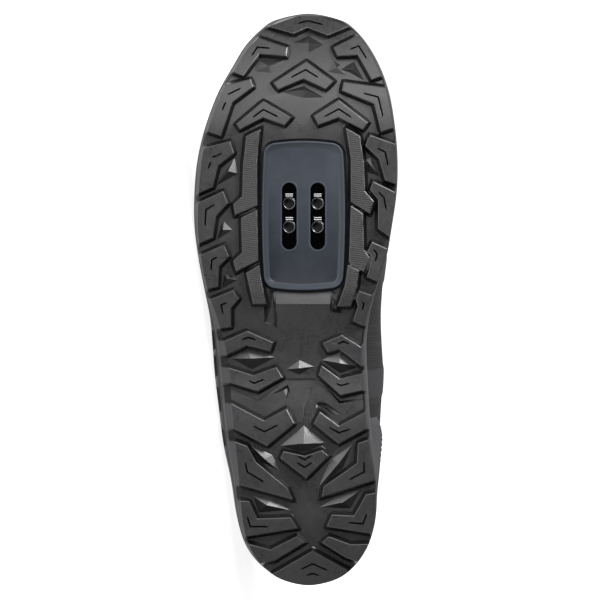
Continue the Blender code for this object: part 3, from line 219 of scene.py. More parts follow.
# Lugs that are bent bars: outer end, outer elbow, outer end, inner end, inner elbow, inner end
LUGS = {
    "toe_front": ((0.975, -0.202), (1.001, -0.005), (0.975, 0.197),
                  (0.959, 0.089), (0.973, -0.010), (0.962, -0.079)),
    "toe_lateral": ((0.938, -0.109), (0.955, -0.252), (0.899, -0.410),
                    (0.887, -0.326), (0.926, -0.247), (0.922, -0.114)),
    "fore_lateral_1": ((0.882, -0.291), (0.868, -0.444), (0.793, -0.523),
                       (0.782, -0.434), (0.840, -0.380), (0.868, -0.276)),
    "fore_lateral_2": ((0.773, -0.390), (0.759, -0.543), (0.677, -0.578),
                       (0.693, -0.474), (0.730, -0.449), (0.752, -0.370)),
    "fore_lateral_3": ((0.686, -0.425), (0.661, -0.578), (0.588, -0.588),
                       (0.605, -0.474), (0.642, -0.459), (0.665, -0.400)),
    "fore_lateral_4": ((0.593, -0.420), (0.569, -0.573), (0.514, -0.523),
                       (0.520, -0.449), (0.555, -0.444), (0.572, -0.395)),
    "waist_lateral": ((0.514, -0.375), (0.492, -0.529), (0.446, -0.472),
                      (0.450, -0.394), (0.483, -0.386), (0.499, -0.346)),
    "toe_medial": ((0.938, 0.118), (0.962, 0.252), (0.889, 0.370),
                   (0.880, 0.306), (0.924, 0.237), (0.922, 0.138)),
    "fore_medial_1": ((0.877, 0.168), (0.866, 0.400), (0.798, 0.430),
                      (0.789, 0.351), (0.838, 0.316), (0.861, 0.158)),
    "fore_medial_2": ((0.784, 0.296), (0.765, 0.444), (0.696, 0.444),
                      (0.705, 0.370), (0.742, 0.341), (0.765, 0.272)),
    "fore_medial_3": ((0.703, 0.311), (0.682, 0.434), (0.605, 0.400),
                      (0.621, 0.336), (0.672, 0.336), (0.688, 0.296)),
    "fore_medial_4": ((0.598, 0.306), (0.584, 0.395), (0.528, 0.341),
                      (0.537, 0.281), (0.569, 0.306), (0.583, 0.286)),
    "waist_medial": ((0.513, 0.242), (0.504, 0.316), (0.451, 0.278),
                     (0.460, 0.216), (0.486, 0.237), (0.497, 0.227)),
    "centre_fore": ((0.875, -0.178), (0.913, -0.015), (0.878, 0.118),
                    (0.864, 0.079), (0.882, -0.030), (0.863, -0.153)),
    "pair_lateral": ((0.803, -0.360), (0.843, -0.227), (0.814, -0.089),
                     (0.801, -0.123), (0.814, -0.227), (0.793, -0.341)),
    "pair_medial": ((0.817, 0.020), (0.845, 0.143), (0.805, 0.286),
                    (0.793, 0.262), (0.814, 0.143), (0.801, 0.044)),
    "arch_lateral": ((0.422, -0.469), (0.443, -0.315), (0.423, -0.187),
                     (0.408, -0.207), (0.418, -0.324), (0.397, -0.469)),
    "arch_medial": ((0.422, 0.068), (0.436, 0.164), (0.409, 0.302),
                    (0.373, 0.325), (0.411, 0.158), (0.406, 0.096)),
    "quarter_lateral_1": ((0.380, -0.183), (0.366, -0.318), (0.381, -0.464),
                          (0.355, -0.480), (0.338, -0.305), (0.362, -0.154)),
    "quarter_medial_1": ((0.383, 0.066), (0.360, 0.172), (0.371, 0.321),
                         (0.341, 0.338), (0.331, 0.188), (0.366, 0.051)),
    "quarter_lateral_2": ((0.308, -0.145), (0.287, -0.295), (0.322, -0.511),
                          (0.278, -0.532), (0.243, -0.293), (0.282, -0.099)),
    "quarter_medial_2": ((0.303, 0.064), (0.278, 0.193), (0.306, 0.374),
                         (0.278, 0.412), (0.247, 0.201), (0.282, 0.026)),
    "heel_centre_top": ((0.234, -0.183), (0.226, -0.035), (0.236, 0.084),
                        (0.226, 0.135), (0.187, -0.021), (0.222, -0.206)),
    "heel_lateral_1": ((0.170, -0.157), (0.215, -0.378), (0.243, -0.432),
                       (0.252, -0.524), (0.178, -0.529), (0.150, -0.121)),
    "heel_medial_1": ((0.173, 0.100), (0.213, 0.335), (0.248, 0.333),
                      (0.259, 0.451), (0.187, 0.507), (0.154, 0.086)),
    "heel_lateral_2": ((0.119, -0.136), (0.117, -0.372), (0.147, -0.429),
                       (0.149, -0.536), (0.084, -0.493), (0.100, -0.086)),
    "heel_medial_2": ((0.124, 0.157), (0.122, 0.314), (0.159, 0.400),
                      (0.164, 0.507), (0.089, 0.479), (0.103, 0.121)),
    "heel_lateral_3": ((0.086, -0.093), (0.063, -0.279), (0.077, -0.493),
                       (0.037, -0.386), (0.044, -0.243), (0.075, -0.036)),
    "heel_medial_3": ((0.086, 0.136), (0.072, 0.293), (0.073, 0.465),
                      (0.040, 0.357), (0.049, 0.257), (0.075, 0.086)),
    "heel_back": ((0.016, -0.293), (0.061, 0.021), (0.024, 0.293),
                  (-0.010, 0.222), (-0.014, -0.007), (-0.010, -0.207)),
}

# Rails that run beside the cleat window in three steps on each side
RAILS = {
    "rail_lateral_1": ((0.782, -0.311), (0.794, -0.242), (0.742, -0.257), (0.661, -0.257),
                       (0.644, -0.365), (0.663, -0.375), (0.677, -0.331), (0.733, -0.326)),
    "rail_lateral_2": ((0.640, -0.336), (0.654, -0.257), (0.565, -0.252), (0.546, -0.360),
                       (0.565, -0.375), (0.579, -0.331)),
    "rail_lateral_3": ((0.544, -0.311), (0.558, -0.247), (0.532, -0.237), (0.490, -0.213),
                       (0.490, -0.277)),
    "rail_medial_1": ((0.796, 0.178), (0.782, 0.247), (0.733, 0.267), (0.686, 0.272),
                      (0.668, 0.316), (0.647, 0.296), (0.668, 0.202), (0.742, 0.202)),
    "rail_medial_2": ((0.661, 0.202), (0.647, 0.262), (0.584, 0.267), (0.570, 0.296),
                      (0.546, 0.267), (0.563, 0.193)),
    "rail_medial_3": ((0.558, 0.188), (0.548, 0.242), (0.518, 0.232), (0.486, 0.203),
                      (0.486, 0.138), (0.523, 0.173)),
}

# Low pyramids between the lugs: four corners round, then the peak
PEAKS = {
    "toe_peak": ((0.947, -0.079), (0.959, -0.005), (0.943, 0.069),
                 (0.929, -0.005), (0.945, -0.005)),
    "arch_peak_lateral": ((0.395, -0.422), (0.409, -0.318), (0.397, -0.183),
                          (0.376, -0.318), (0.395, -0.319)),
    "arch_peak_medial": ((0.392, 0.065), (0.406, 0.160), (0.381, 0.271),
                         (0.369, 0.175), (0.387, 0.164)),
    "arch_peak_centre": ((0.376, -0.128), (0.392, -0.054), (0.381, 0.022),
                         (0.367, -0.057), (0.378, -0.061)),
    "heel_peak_centre": ((0.243, -0.202), (0.278, -0.040), (0.248, 0.111),
                         (0.231, -0.035), (0.247, -0.042)),
    "heel_peak_lateral": ((0.2455, -0.416), (0.227, -0.262), (0.199, -0.212),
                          (0.2165, -0.350), (0.2205, -0.318)),
    "heel_peak_medial": ((0.172, 0.065), (0.219, 0.150), (0.2455, 0.298),
                         (0.206, 0.240), (0.2125, 0.205)),
    "heel_fin_lateral": ((0.156, -0.402), (0.1505, -0.280), (0.1315, -0.145),
                         (0.127, -0.361), (0.140, -0.305)),
    "heel_fin_medial": ((0.136, 0.073), (0.1545, 0.190), (0.167, 0.367),
                        (0.1345, 0.290), (0.1445, 0.235)),
    "side_peak_1": ((0.723, -0.410), (0.744, -0.370), (0.717, -0.351),
                    (0.695, -0.464), (0.721, -0.400)),
    "side_peak_2": ((0.630, -0.434), (0.633, -0.420), (0.619, -0.380),
                    (0.602, -0.454), (0.619, -0.425)),
    "side_peak_3": ((0.541, -0.420), (0.546, -0.405), (0.532, -0.355),
                    (0.516, -0.430), (0.534, -0.405)),
    "side_peak_4": ((0.742, 0.276), (0.745, 0.301), (0.712, 0.346), (0.719, 0.286), (0.730, 0.301)),
    "fore_peak": ((0.859, -0.138), (0.870, -0.030), (0.850, 0.069),
                  (0.849, -0.030), (0.863, -0.030)),
    "toe_facet_medial": ((0.899, 0.153), (0.913, 0.217), (0.880, 0.267),
                         (0.894, 0.197), (0.899, 0.212)),
}

# The pyramids whose facets toward the toe take a polished, paler paint as painted light, and toward the
# heel a matt, darker paint as painted shade
FACETED = ("arch_peak_lateral", "arch_peak_medial", "arch_peak_centre", "heel_peak_centre",
           "heel_peak_lateral", "heel_peak_medial", "heel_fin_lateral", "heel_fin_medial",
           "side_peak_1", "side_peak_4")

# Shallow pockets in the web
PITS = {
    "ramp_pocket_lateral": ((0.509, -0.215), (0.509, -0.180), (0.454, -0.176), (0.460, -0.215)),
    "ramp_pocket_medial": ((0.508, 0.112), (0.506, 0.176), (0.478, 0.150), (0.480, 0.112)),
    "quarter_pocket_lateral": ((0.345, -0.126), (0.320, -0.145), (0.300, -0.268),
                               (0.309, -0.328), (0.332, -0.228)),
    "quarter_pocket_medial": ((0.315, 0.062), (0.314, 0.098), (0.296, 0.212), (0.292, 0.178)),
}

# Recesses in the sole's lateral side: where along, and how long
NOTCHES = (
    # along, length
    (0.427, 0.0120),
    (0.381, 0.0130),
    (0.323, 0.0140),
    (0.257, 0.0110),
)

# The upper's top line, from the toe (around 0) to the back of the heel (around 1)
TOP_LINE = (
    # around, along, toe_height, instep_height, heel_height, throat_width, collar_width
    (0.000, 0.955, 1.00, 0.000, 0.000, 0.00, 0.00),
    (0.070, 0.940, 1.04, 0.000, 0.000, 0.00, 0.00),
    (0.150, 0.895, 0.85, 0.115, 0.000, 0.00, 0.00),
    (0.220, 0.830, 0.60, 0.270, 0.000, 0.00, 0.00),
    (0.285, 0.762, 0.35, 0.430, 0.000, 0.00, 0.00),
    (0.345, 0.700, 0.15, 0.575, 0.000, 0.00, 0.00),
    (0.400, 0.640, 0.00, 0.695, 0.000, 0.28, 0.00),
    (0.490, 0.545, 0.00, 0.790, 0.000, 0.42, 0.00),
    (0.580, 0.455, 0.00, 0.895, 0.000, 0.50, 0.00),
    (0.630, 0.402, 0.00, 0.985, 0.000, 0.58, 0.00),
    (0.650, 0.378, 0.00, 1.000, 0.000, 0.60, 0.00),
    (0.672, 0.350, 0.00, 0.850, 0.132, 0.52, 0.07),
    (0.720, 0.290, 0.00, 0.430, 0.480, 0.30, 0.28),
    (0.790, 0.200, 0.00, 0.100, 0.765, 0.00, 0.50),
    (0.865, 0.115, 0.00, 0.000, 0.890, 0.00, 0.44),
    (0.930, 0.055, 0.00, 0.000, 0.950, 0.00, 0.29),
    (1.000, 0.026, 0.00, 0.000, 1.000, 0.00, 0.00),
)

# The swell of the upper past the medial arch: height, middle and half length, the last two round the sole
arch_swell = 0.028
arch_swell_at = 0.60
arch_swell_reach = 0.26

# How each side curve rises from the sole edge: handles of a cubic curve
SIDE_CURVE = (
    # around, rise, bulge_lateral, bulge_medial, roof, hang
    (0.000, 0.72, 0.000, 0.000, 0.80, 0.02),
    (0.150, 0.72, 0.000, 0.000, 0.78, 0.03),
    (0.285, 0.66, -0.010, 0.000, 0.70, 0.05),
    (0.345, 0.62, -0.015, 0.000, 0.66, 0.08),
    (0.400, 0.56, -0.015, 0.000, 0.58, 0.15),
    (0.490, 0.50, -0.015, 0.000, 0.46, 0.25),
    (0.580, 0.45, -0.030, 0.000, 0.36, 0.34),
    (0.650, 0.42, -0.045, 0.000, 0.28, 0.40),
    (0.720, 0.40, -0.055, 0.000, 0.16, 0.44),
    (0.790, 0.38, -0.045, 0.000, 0.06, 0.45),
    (0.865, 0.36, -0.025, 0.020, 0.00, 0.45),
    (0.930, 0.36, 0.000, 0.020, -0.04, 0.40),
    (1.000, 0.36, 0.020, 0.020, -0.10, 0.36),
)

# Where the ridge of the upper runs across the sole
RIDGE = (
    # along, across
    (0.00, -0.007),
    (0.10, -0.020),
    (0.40, -0.070),
    (0.55, -0.060),
    (0.70, -0.050),
    (0.85, -0.020),
    (1.00, -0.005),
)

# Overlays: how high each reaches on the side curve at a place around the upper
TOE_CAP_TOP = ((0.000, 0.42), (0.060, 0.40), (0.110, 0.30), (0.150, 0.12))
COUNTER_TOP = ((0.690, 0.10), (0.740, 0.30), (0.800, 0.44), (0.880, 0.52), (1.000, 0.56))

# Straps over the throat: centre around the upper, and how far down each side they reach
STRAPS = {
    # name: around, lateral reach, medial reach
    "strap_front": (0.445, 0.46, 0.62),
    "strap_rear": (0.585, 0.52, 0.66),
}
THROAT_AROUND = 0.345
CORNER_AROUND = 0.650

# Sipes in the lugs: thin grooves through an end, an elbow and an end
SIPES = {
    "toe_front": ((0.980, -0.059), (0.985, -0.010), (0.978, 0.069)),
    "toe_lateral": ((0.922, -0.286), (0.938, -0.257), (0.936, -0.193)),
    "fore_lateral_1a": ((0.854, -0.405), (0.859, -0.375), (0.866, -0.336)),
    "fore_lateral_1b": ((0.826, -0.430), (0.835, -0.420), (0.842, -0.410)),
    "fore_lateral_2a": ((0.745, -0.484), (0.747, -0.459), (0.752, -0.430)),
    "fore_lateral_2b": ((0.724, -0.499), (0.733, -0.489), (0.738, -0.484)),
    "fore_lateral_3": ((0.625, -0.513), (0.654, -0.509), (0.663, -0.464)),
    "fore_lateral_4": ((0.548, -0.484), (0.567, -0.479), (0.572, -0.449)),
    "waist_lateral": ((0.471, -0.428), (0.488, -0.435), (0.493, -0.405)),
    "toe_medial": ((0.934, 0.197), (0.940, 0.242), (0.917, 0.281)),
    "fore_medial_1": ((0.857, 0.262), (0.850, 0.336), (0.815, 0.360)),
    "fore_medial_2": ((0.761, 0.331), (0.754, 0.370), (0.730, 0.385)),
    "fore_medial_3": ((0.686, 0.336), (0.674, 0.365), (0.654, 0.375)),
    "fore_medial_4": ((0.586, 0.311), (0.577, 0.331), (0.563, 0.321)),
    "waist_medial": ((0.495, 0.257), (0.490, 0.267), (0.479, 0.258)),
    "centre_fore": ((0.884, -0.094), (0.898, -0.020), (0.884, 0.044)),
    "pair_lateral": ((0.814, -0.281), (0.828, -0.227), (0.815, -0.153)),
    "pair_medial": ((0.815, 0.069), (0.829, 0.143), (0.814, 0.207)),
    "arch_lateral": ((0.427, -0.352), (0.432, -0.314), (0.427, -0.274)),
    "arch_medial": ((0.420, 0.141), (0.425, 0.176), (0.420, 0.204)),
    "quarter_lateral_1": ((0.357, -0.352), (0.352, -0.320), (0.359, -0.259)),
    "quarter_medial_1": ((0.352, 0.151), (0.348, 0.182), (0.352, 0.233)),
    "quarter_lateral_2": ((0.278, -0.372), (0.268, -0.304), (0.280, -0.205)),
    "quarter_medial_2": ((0.276, 0.127), (0.266, 0.196), (0.273, 0.275)),
    "heel_centre_top_a": ((0.215, -0.093), (0.206, -0.036), (0.215, 0.021)),
    "heel_centre_top_b": ((0.226, -0.085), (0.219, -0.036), (0.227, 0.014)),
    "heel_lateral_1": ((0.215, -0.456), (0.198, -0.443), (0.180, -0.322)),
    "heel_medial_1": ((0.217, 0.384), (0.198, 0.386), (0.184, 0.279)),
    "heel_lateral_2": ((0.121, -0.443), (0.103, -0.422), (0.103, -0.293)),
    "heel_medial_2": ((0.126, 0.407), (0.108, 0.379), (0.110, 0.272)),
    "heel_back_a": ((0.028, -0.064), (0.038, 0.021), (0.026, 0.129)),
    "heel_back_b": ((0.017, -0.029), (0.021, 0.021), (0.017, 0.071)),
}

# Fine steps in the web, as open lines
WEB_STEPS = {
    "quarter_step": ((0.346, -0.485), (0.322, -0.318), (0.358, -0.140), (0.358, 0.045),
                     (0.319, 0.185), (0.325, 0.330)),
}

# Faint facets of the web: four corners round, then the peak
LOW_PEAKS = {
    "heel_kite": ((0.352, -0.130), (0.352, 0.022), (0.289, -0.040), (0.322, -0.098), (0.326, -0.048)),
    "heel_shard": ((0.350, 0.045), (0.322, 0.075), (0.290, 0.020), (0.330, 0.010), (0.320, 0.042)),
    "toe_shelf_lateral": ((0.917, -0.262), (0.917, -0.115), (0.893, -0.190), (0.896, -0.270),
                          (0.905, -0.200)),
    "toe_shelf_medial": ((0.915, 0.115), (0.908, 0.150), (0.889, 0.180), (0.895, 0.090), (0.902, 0.135)),
}

# The ramp that leads from the arch down to the plate's heel end: two deep corners, two flush ones
RAMP = ((0.5135, -0.205), (0.5135, 0.120), (0.490, 0.105), (0.490, -0.190))

# How a lug falls off: distance out of its outline, share of its height
LUG_EDGE = (
    # outward, height
    (-0.00045, 1.00),
    (0.00000, 0.965),
    (0.00135, 0.10),
    (0.00170, 0.00),
)


# Marks of painted light: the medial side painted pale, and edges painted paler still as a painted highlight
# line
medial_painted_light = 1.5
edge_painted_highlight = 1.9
middle_line = -0.001

# How the midsole's side rises: share of the way out, share of its height, groove depth
MIDSOLE_SIDE = (
    (0.00, 0.00, 0.0),
    (0.30, 0.05, 0.0),
    (0.60, 0.16, 0.0),
    (0.78, 0.28, 0.0),
    (0.92, 0.40, 0.0),
    (1.00, 0.56, 0.0),
    (1.00, 0.68, 0.0),
    (1.00, 0.74, 0.0),
    (1.00, 0.77, 0.0005),
    (1.00, 0.80, 0.0),
    (1.00, 0.94, 0.0),
    (0.96, 1.00, 0.0),
)

# The cleat plate's section: how far in from its outline, and its height there
PLATE_SECTION = (
    (-0.00340, 0.00580),
    (-0.00300, 0.00565),
    (-0.00110, 0.00335),
    (-0.00080, 0.00305),
    (-0.00050, 0.00300),
    (-0.00015, 0.00312),
    (0.00000, 0.00345),
)

# Where the barrels stand against the middle of the slots, and the fine ribs beside each barrel
nut_shift = 0.0005
NUT_RIBS = (
    # along, height
    (0.0038, 0.0017),
    (0.0048, 0.0012),
)

# Raised seams and bindings of the upper
seam_rise = 0.0005
binding_width = 0.07
eyestay_width = 0.16

# Bonded strips of the upper: where they start at the sole and end at the top line, and half their width
STRIPS = (
    # around at the sole, around at the top, half width
    (0.235, 0.345, 0.020),
    (0.455, 0.500, 0.022),
    (0.640, 0.610, 0.022),
)

# Fields of punched holes between the strips: places around the upper, then up the side
PUNCHED = (
    # around from, around to, up from, up to
    (0.120, 0.200, 0.48, 0.90),
    (0.345, 0.415, 0.26, 0.70),
    (0.535, 0.575, 0.24, 0.60),
)
HOLE_PITCH = 0.0042
UPPER_RUN = 0.330
UPPER_RISE = 0.085

# The photo's frame: width in metres at the sole, and its middle along and across the shoe
frame_width = 0.3045
frame_middle = (0.1451, -0.0049)
camera_distance = 2.6

# Lights: direction toward each in the shoe's axes, distance, size and power
LIGHTS = (
    # name, toe, medial, out, distance, size, power
    ("front", 0.50, 0.06, 0.86, 1.1, 0.45, 3.4),
    ("key", 0.56, 0.50, 0.66, 0.9, 0.24, 12.0),
)
backlight_from = (-0.15, 0.65, 0.75)
backlight_power = 0.5
backlight_spread = 60.0
surround_strength = 0.07
floor_size = 30.0
floor_drop = 0.0002
floor_glow = 0.85


def smoothstep(value):
    value = min(max(value, 0.0), 1.0)
    return value * value * (3.0 - 2.0 * value)


def table_value(rows, column, where):
    """One column of a table at a share, as a smooth curve that never overshoots its rows."""
    if where <= rows[0][0]:
        return rows[0][column]
    if where >= rows[-1][0]:
        return rows[-1][column]
    spot = next(i for i in range(len(rows) - 1) if rows[i + 1][0] >= where)

    def slope(i):
        return (rows[i + 1][column] - rows[i][column]) / (rows[i + 1][0] - rows[i][0])

    def tangent(i):
        if i == 0 or i == len(rows) - 1:
            return slope(min(i, len(rows) - 2))
        before, after = slope(i - 1), slope(i)
        if before * after <= 0.0:
            return 0.0
        return 2.0 * before * after / (before + after)

    step = rows[spot + 1][0] - rows[spot][0]
    t = (where - rows[spot][0]) / step
    return ((2 * t**3 - 3 * t**2 + 1) * rows[spot][column]
            + (t**3 - 2 * t**2 + t) * step * tangent(spot)
            + (3 * t**2 - 2 * t**3) * rows[spot + 1][column]
            + (t**3 - t**2) * step * tangent(spot + 1))


def width_unit(along):
    """The size that across shares refer to, from the heel's width to the ball's."""
    blend = smoothstep((along - 0.2) / 0.3)
    return heel_width * (1.0 - blend) + ball_width * blend


def place(point):
    """A table point (along, across) as metres in plan."""
    along, across = point
    return Vector((along * sole_length, across * width_unit(along)))


def row_frame():
    """Matrix from the shoe's axes to the row frame, worked out from a packed mount."""
    mounts = {mount["name"]: mount for mount in frame["record"]["mounts"]}
    tread = mounts["forefoot_tread"]
    out = Vector(tread["axis"]).normalized()
    toe = Vector((-out.z, 0.0, out.x)).normalized()
    up = -out
    medial = up.cross(toe)
    spot = place((0.724, -0.292))
    origin = Vector(tread["pos_m"]) - toe * spot.x - medial * spot.y
    turn = Matrix((toe, medial, up)).transposed().to_4x4()
    return Matrix.Translation(origin) @ turn


SHOE = row_frame()


def tread_height(x):
    """Height of the lug tops above the ground plane."""
    along = x / sole_length
    return (toe_spring * table_value(PROFILE, 1, along)
            + arch_rise * table_value(PROFILE, 2, along)
            + heel_bevel * table_value(PROFILE, 3, along))


def sole_top(x):
    """Height of the sole's upper face, where the upper stands."""
    along = x / sole_length
    return (tread_height(x) + heel_stack * table_value(PROFILE, 4, along)
            + ball_stack * table_value(PROFILE, 5, along))


def rubber_top(x):
    """Height of the face between rubber outsole and midsole."""
    return tread_height(x) + lug_depth + web_thickness


def half_outline(side, edge):
    """Control points of half the sole's outline from the toe tip to the heel tip."""
    column = (3 if edge else 1) + (1 if side > 0 else 0)
    tip = 2 if edge else 0
    points = [place((TOE_TIP[tip], TOE_TIP[tip + 1]))]
    points += [place((row[0], row[column])) for row in reversed(PLAN)]
    points.append(place((HEEL_TIP[tip], HEEL_TIP[tip + 1])))
    return points


OUTLINES = {(side, edge): half_outline(side, edge) for side in (-1, 1) for edge in (False, True)}


def outline_point(side, edge, position):
    """A point of the outline's smooth curve at a position counted in control points."""
    near, far = OUTLINES[side, edge], OUTLINES[-side, edge]
    closed = [far[1]] + near + [far[-2]]
    spot = min(int(position), len(near) - 2)
    t = position - spot
    a, b, c, d = closed[spot:spot + 4]
    return 0.5 * (2 * b + (c - a) * t + (2 * a - 5 * b + 4 * c - d) * t * t
                  + (3 * b - a - 3 * c + d) * t**3)


def arc_table(side):
    """Arc lengths along the sole edge against outline positions."""
    steps = (len(PLAN) + 1) * 8
    table = [(0.0, 0.0)]
    before = outline_point(side, True, 0.0)
    for step in range(1, steps + 1):
        here = outline_point(side, True, step / 8)
        table.append((table[-1][0] + (here - before).length, step / 8))
        before = here
    return table


ARCS = {side: arc_table(side) for side in (-1, 1)}


def position_around(side, around):
    """Outline position at a share of the way round from the toe tip to the heel tip."""
    table = ARCS[side]
    wanted = around * table[-1][0]
    for (a, low), (b, high) in zip(table, table[1:]):
        if b >= wanted:
            return low + (high - low) * (wanted - a) / (b - a)
    return table[-1][1]


def sole_loop(edge_share, step=outline_step):
    """The whole outline between the tread edge (share 0) and the sole edge (share 1)."""
    last = len(PLAN) + 1
    loop = []
    for side in (-1, 1):
        count = last * step
        places = range(count) if side < 0 else range(count, 0, -1)
        for index in places:
            tread = outline_point(side, False, index / step)
            edge = outline_point(side, True, index / step)
            loop.append(tread.lerp(edge, edge_share))
    return loop


def inside(point, polygon):
    """Whether a plan point lies in a polygon."""
    hit = False
    for a, b in zip(polygon, polygon[1:] + polygon[:1]):
        if (a.y > point.y) != (b.y > point.y):
            if point.x < a.x + (b.x - a.x) * (point.y - a.y) / (b.y - a.y):
                hit = not hit
    return hit


def line_distance(point, line):
    """Distance from a plan point to an open line of points."""
    best = 1.0
    for a, b in zip(line, line[1:]):
        run = b - a
        t = min(max((point - a).dot(run) / max(run.length_squared, 1e-12), 0.0), 1.0)
        best = min(best, (a + run * t - point).length)
    return best


def outer_distance(point, polygon):
    """Distance out of a polygon, negative inside it."""
    away = line_distance(point, polygon + polygon[:1])
    return -away if inside(point, polygon) else away


def grown(polygon, amount):
    """A polygon offset outward by an amount, with mitred corners."""
    area = sum(a.cross(b) for a, b in zip(polygon, polygon[1:] + polygon[:1]))
    turn = 1.0 if area > 0 else -1.0
    result = []
    for index, here in enumerate(polygon):
        before = (here - polygon[index - 1]).normalized()
        after = (polygon[(index + 1) % len(polygon)] - here).normalized()
        out_a = Vector((before.y, -before.x)) * turn
        out_b = Vector((after.y, -after.x)) * turn
        middle = (out_a + out_b).normalized()
        result.append(here + middle * (amount / max(middle.dot(out_a), 0.35)))
    return result


def divided(line, spacing):
    """An open line with extra points so that none of its spans is longer than spacing."""
    points = [line[0]]
    for a, b in zip(line, line[1:]):
        count = max(1, math.ceil((b - a).length / spacing))
        points += [a.lerp(b, (i + 1) / count) for i in range(count)]
    return points


def fill(loops, creases, free_points):
    """Triangles inside the first plan loop and outside the others, with creases and points."""
    points, areas, links = [], [], []
    for loop in loops:
        start = len(points)
        points += [p / MILLIMETRE for p in loop]
        area = sum(a.cross(b) for a, b in zip(loop, loop[1:] + loop[:1]))
        order = list(range(start, start + len(loop)))
        areas.append(order if area > 0 else order[::-1])
    for line in creases:
        start = len(points)
        points += [p / MILLIMETRE for p in line]
        links += [(start + i, start + i + 1) for i in range(len(line) - 1)]
    points += [p / MILLIMETRE for p in free_points]
    verts, _, faces, _, _, owners = delaunay_2d_cdt(points, links, areas, 0, 1e-4)
    kept = [face for face, owner in zip(faces, owners) if list(owner) == [0]]
    return [v * MILLIMETRE for v in verts], kept


class Body:
    """Collects rings and faces of one piece in the shoe's axes and turns them into an object."""

    def __init__(self):
        self.mesh = bmesh.new()
        self.layers = {name: self.mesh.verts.layers.float.new(name)
                       for name in ("relief", "ribbed", "run", "rise")}

    def vert(self, point, **marks):
        made = self.mesh.verts.new(point)
        for name, value in marks.items():
            made[self.layers[name]] = value
        return made

    def ring(self, points, **marks):
        return [self.vert(p, **marks) for p in points]

    def face(self, corners, slot=0):
        distinct = []
        for corner in corners:
            if corner not in distinct:
                distinct.append(corner)
        if len(distinct) > 2:
            made = self.mesh.faces.new(distinct)
            made.material_index = slot

    def strip(self, low, high, closed=True, slot=0):
        count = len(low) if closed else len(low) - 1
        for i in range(count):
            j = (i + 1) % len(low)
            self.face((low[i], low[j], high[j], high[i]), slot)

    def end(self, ring):
        """Closes an end whose ring runs out along one face and back along the other."""
        for i in range(len(ring) // 2 - 1):
            self.face((ring[i], ring[i + 1], ring[-2 - i], ring[-1 - i]))

    def cap(self, rings, height, spacing=0.0, slot=0):
        """Flat or curved lid between rings, with inner points so that it follows height."""
        plans = [[Vector((v.co.x, v.co.y)) for v in ring] for ring in rings]
        free = grid_points(plans, spacing, spacing / 3) if spacing else []
        verts, faces = fill(plans, [], free)
        known = [v for ring in rings for v in ring]
        made = list(known)
        for spot in verts[len(known):]:
            made.append(self.mesh.verts.new((spot.x, spot.y, height(spot.x))))
        for corners in faces:
            self.face([made[i] for i in corners], slot)

    def finish(self, name, materials, sharp=35.0):
        bmesh.ops.remove_doubles(self.mesh, verts=self.mesh.verts, dist=1e-6)
        bmesh.ops.recalc_face_normals(self.mesh, faces=self.mesh.faces)
        self.mesh.transform(SHOE)
        data = bpy.data.meshes.new(name)
        self.mesh.to_mesh(data)
        self.mesh.free()
        for material in materials:
            data.materials.append(material)
        data.shade_smooth()
        data.set_sharp_from_angle(angle=math.radians(sharp))
        thing = bpy.data.objects.new(name, data)
        bpy.context.scene.collection.objects.link(thing)
        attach(thing, "root")
        return thing


def grid_points(plans, spacing, margin):
    """Points of a slanted grid inside the first plan loop, clear of all of the loops."""
    outer, holes = plans[0], plans[1:]
    low_x, high_x = min(p.x for p in outer), max(p.x for p in outer)
    low_y, high_y = min(p.y for p in outer), max(p.y for p in outer)
    found = []
    for i in range(int((high_x - low_x) / spacing) + 2):
        for j in range(int((high_y - low_y) / spacing) + 2):
            shift = 0.5 if i % 2 else 0.0
            spot = Vector((low_x + i * spacing, low_y + (j + shift) * spacing))
            if not inside(spot, outer) or any(inside(spot, hole) for hole in holes):
                continue
            if all(line_distance(spot, plan + plan[:1]) > margin for plan in plans):
                found.append(spot)
    return found


class Paint:
    """Builds a material's nodes step by step."""

    def __init__(self, name):
        self.material = bpy.data.materials.new(name)
        self.material.use_nodes = True
        self.tree = self.material.node_tree
        self.shader = self.tree.nodes["Principled BSDF"]

    def node(self, kind, settings=None, **sockets):
        made = self.tree.nodes.new("ShaderNode" + kind)
        for key, value in (settings or {}).items():
            setattr(made, key, value)
        for key, value in sockets.items():
            self.feed(made.inputs[key.replace("_", " ")], value)
        return made

    def feed(self, socket, value):
        if isinstance(value, bpy.types.NodeSocket):
            self.tree.links.new(value, socket)
        else:
            socket.default_value = value

    def surface(self, **sockets):
        for key, value in sockets.items():
            self.feed(self.shader.inputs[key.replace("_", " ")], value)

    def noise(self, scale, detail=3.0, roughness=0.55, where=None):
        spots = {} if where is None else {"Vector": where}
        made = self.node("TexNoise", Scale=scale, Detail=detail, Roughness=roughness, **spots)
        return made.outputs["Fac"]

    def ramp(self, value, low, high, out_low=0.0, out_high=1.0):
        made = self.node("MapRange", {"interpolation_type": "SMOOTHSTEP"}, Value=value)
        made.inputs["From Min"].default_value = low
        made.inputs["From Max"].default_value = high
        made.inputs["To Min"].default_value = out_low
        made.inputs["To Max"].default_value = out_high
        return made.outputs["Result"]

    def mix(self, share, a, b):
        made = self.node("Mix", {"data_type": "RGBA"})
        self.feed(made.inputs[0], share)
        self.feed(made.inputs[6], a)
        self.feed(made.inputs[7], b)
        return made.outputs[2]

    def math(self, operation, a, b=0.0):
        made = self.node("Math", {"operation": operation})
        self.feed(made.inputs[0], a)
        self.feed(made.inputs[1], b)
        return made.outputs[0]

    def attribute(self, name):
        return self.node("Attribute", {"attribute_name": name}).outputs["Fac"]

    def object_place(self):
        return self.node("TexCoord").outputs["Object"]

    def bump(self, height, distance, strength=1.0, over=None):
        made = self.node("Bump", Height=height, Distance=distance, Strength=strength)
        if over is not None:
            self.tree.links.new(over, made.inputs["Normal"])
        return made.outputs["Normal"]


def grey(level, blue=1.06):
    """A dark neutral colour with a slight blue cast."""
    return (level, level, level * blue, 1.0)


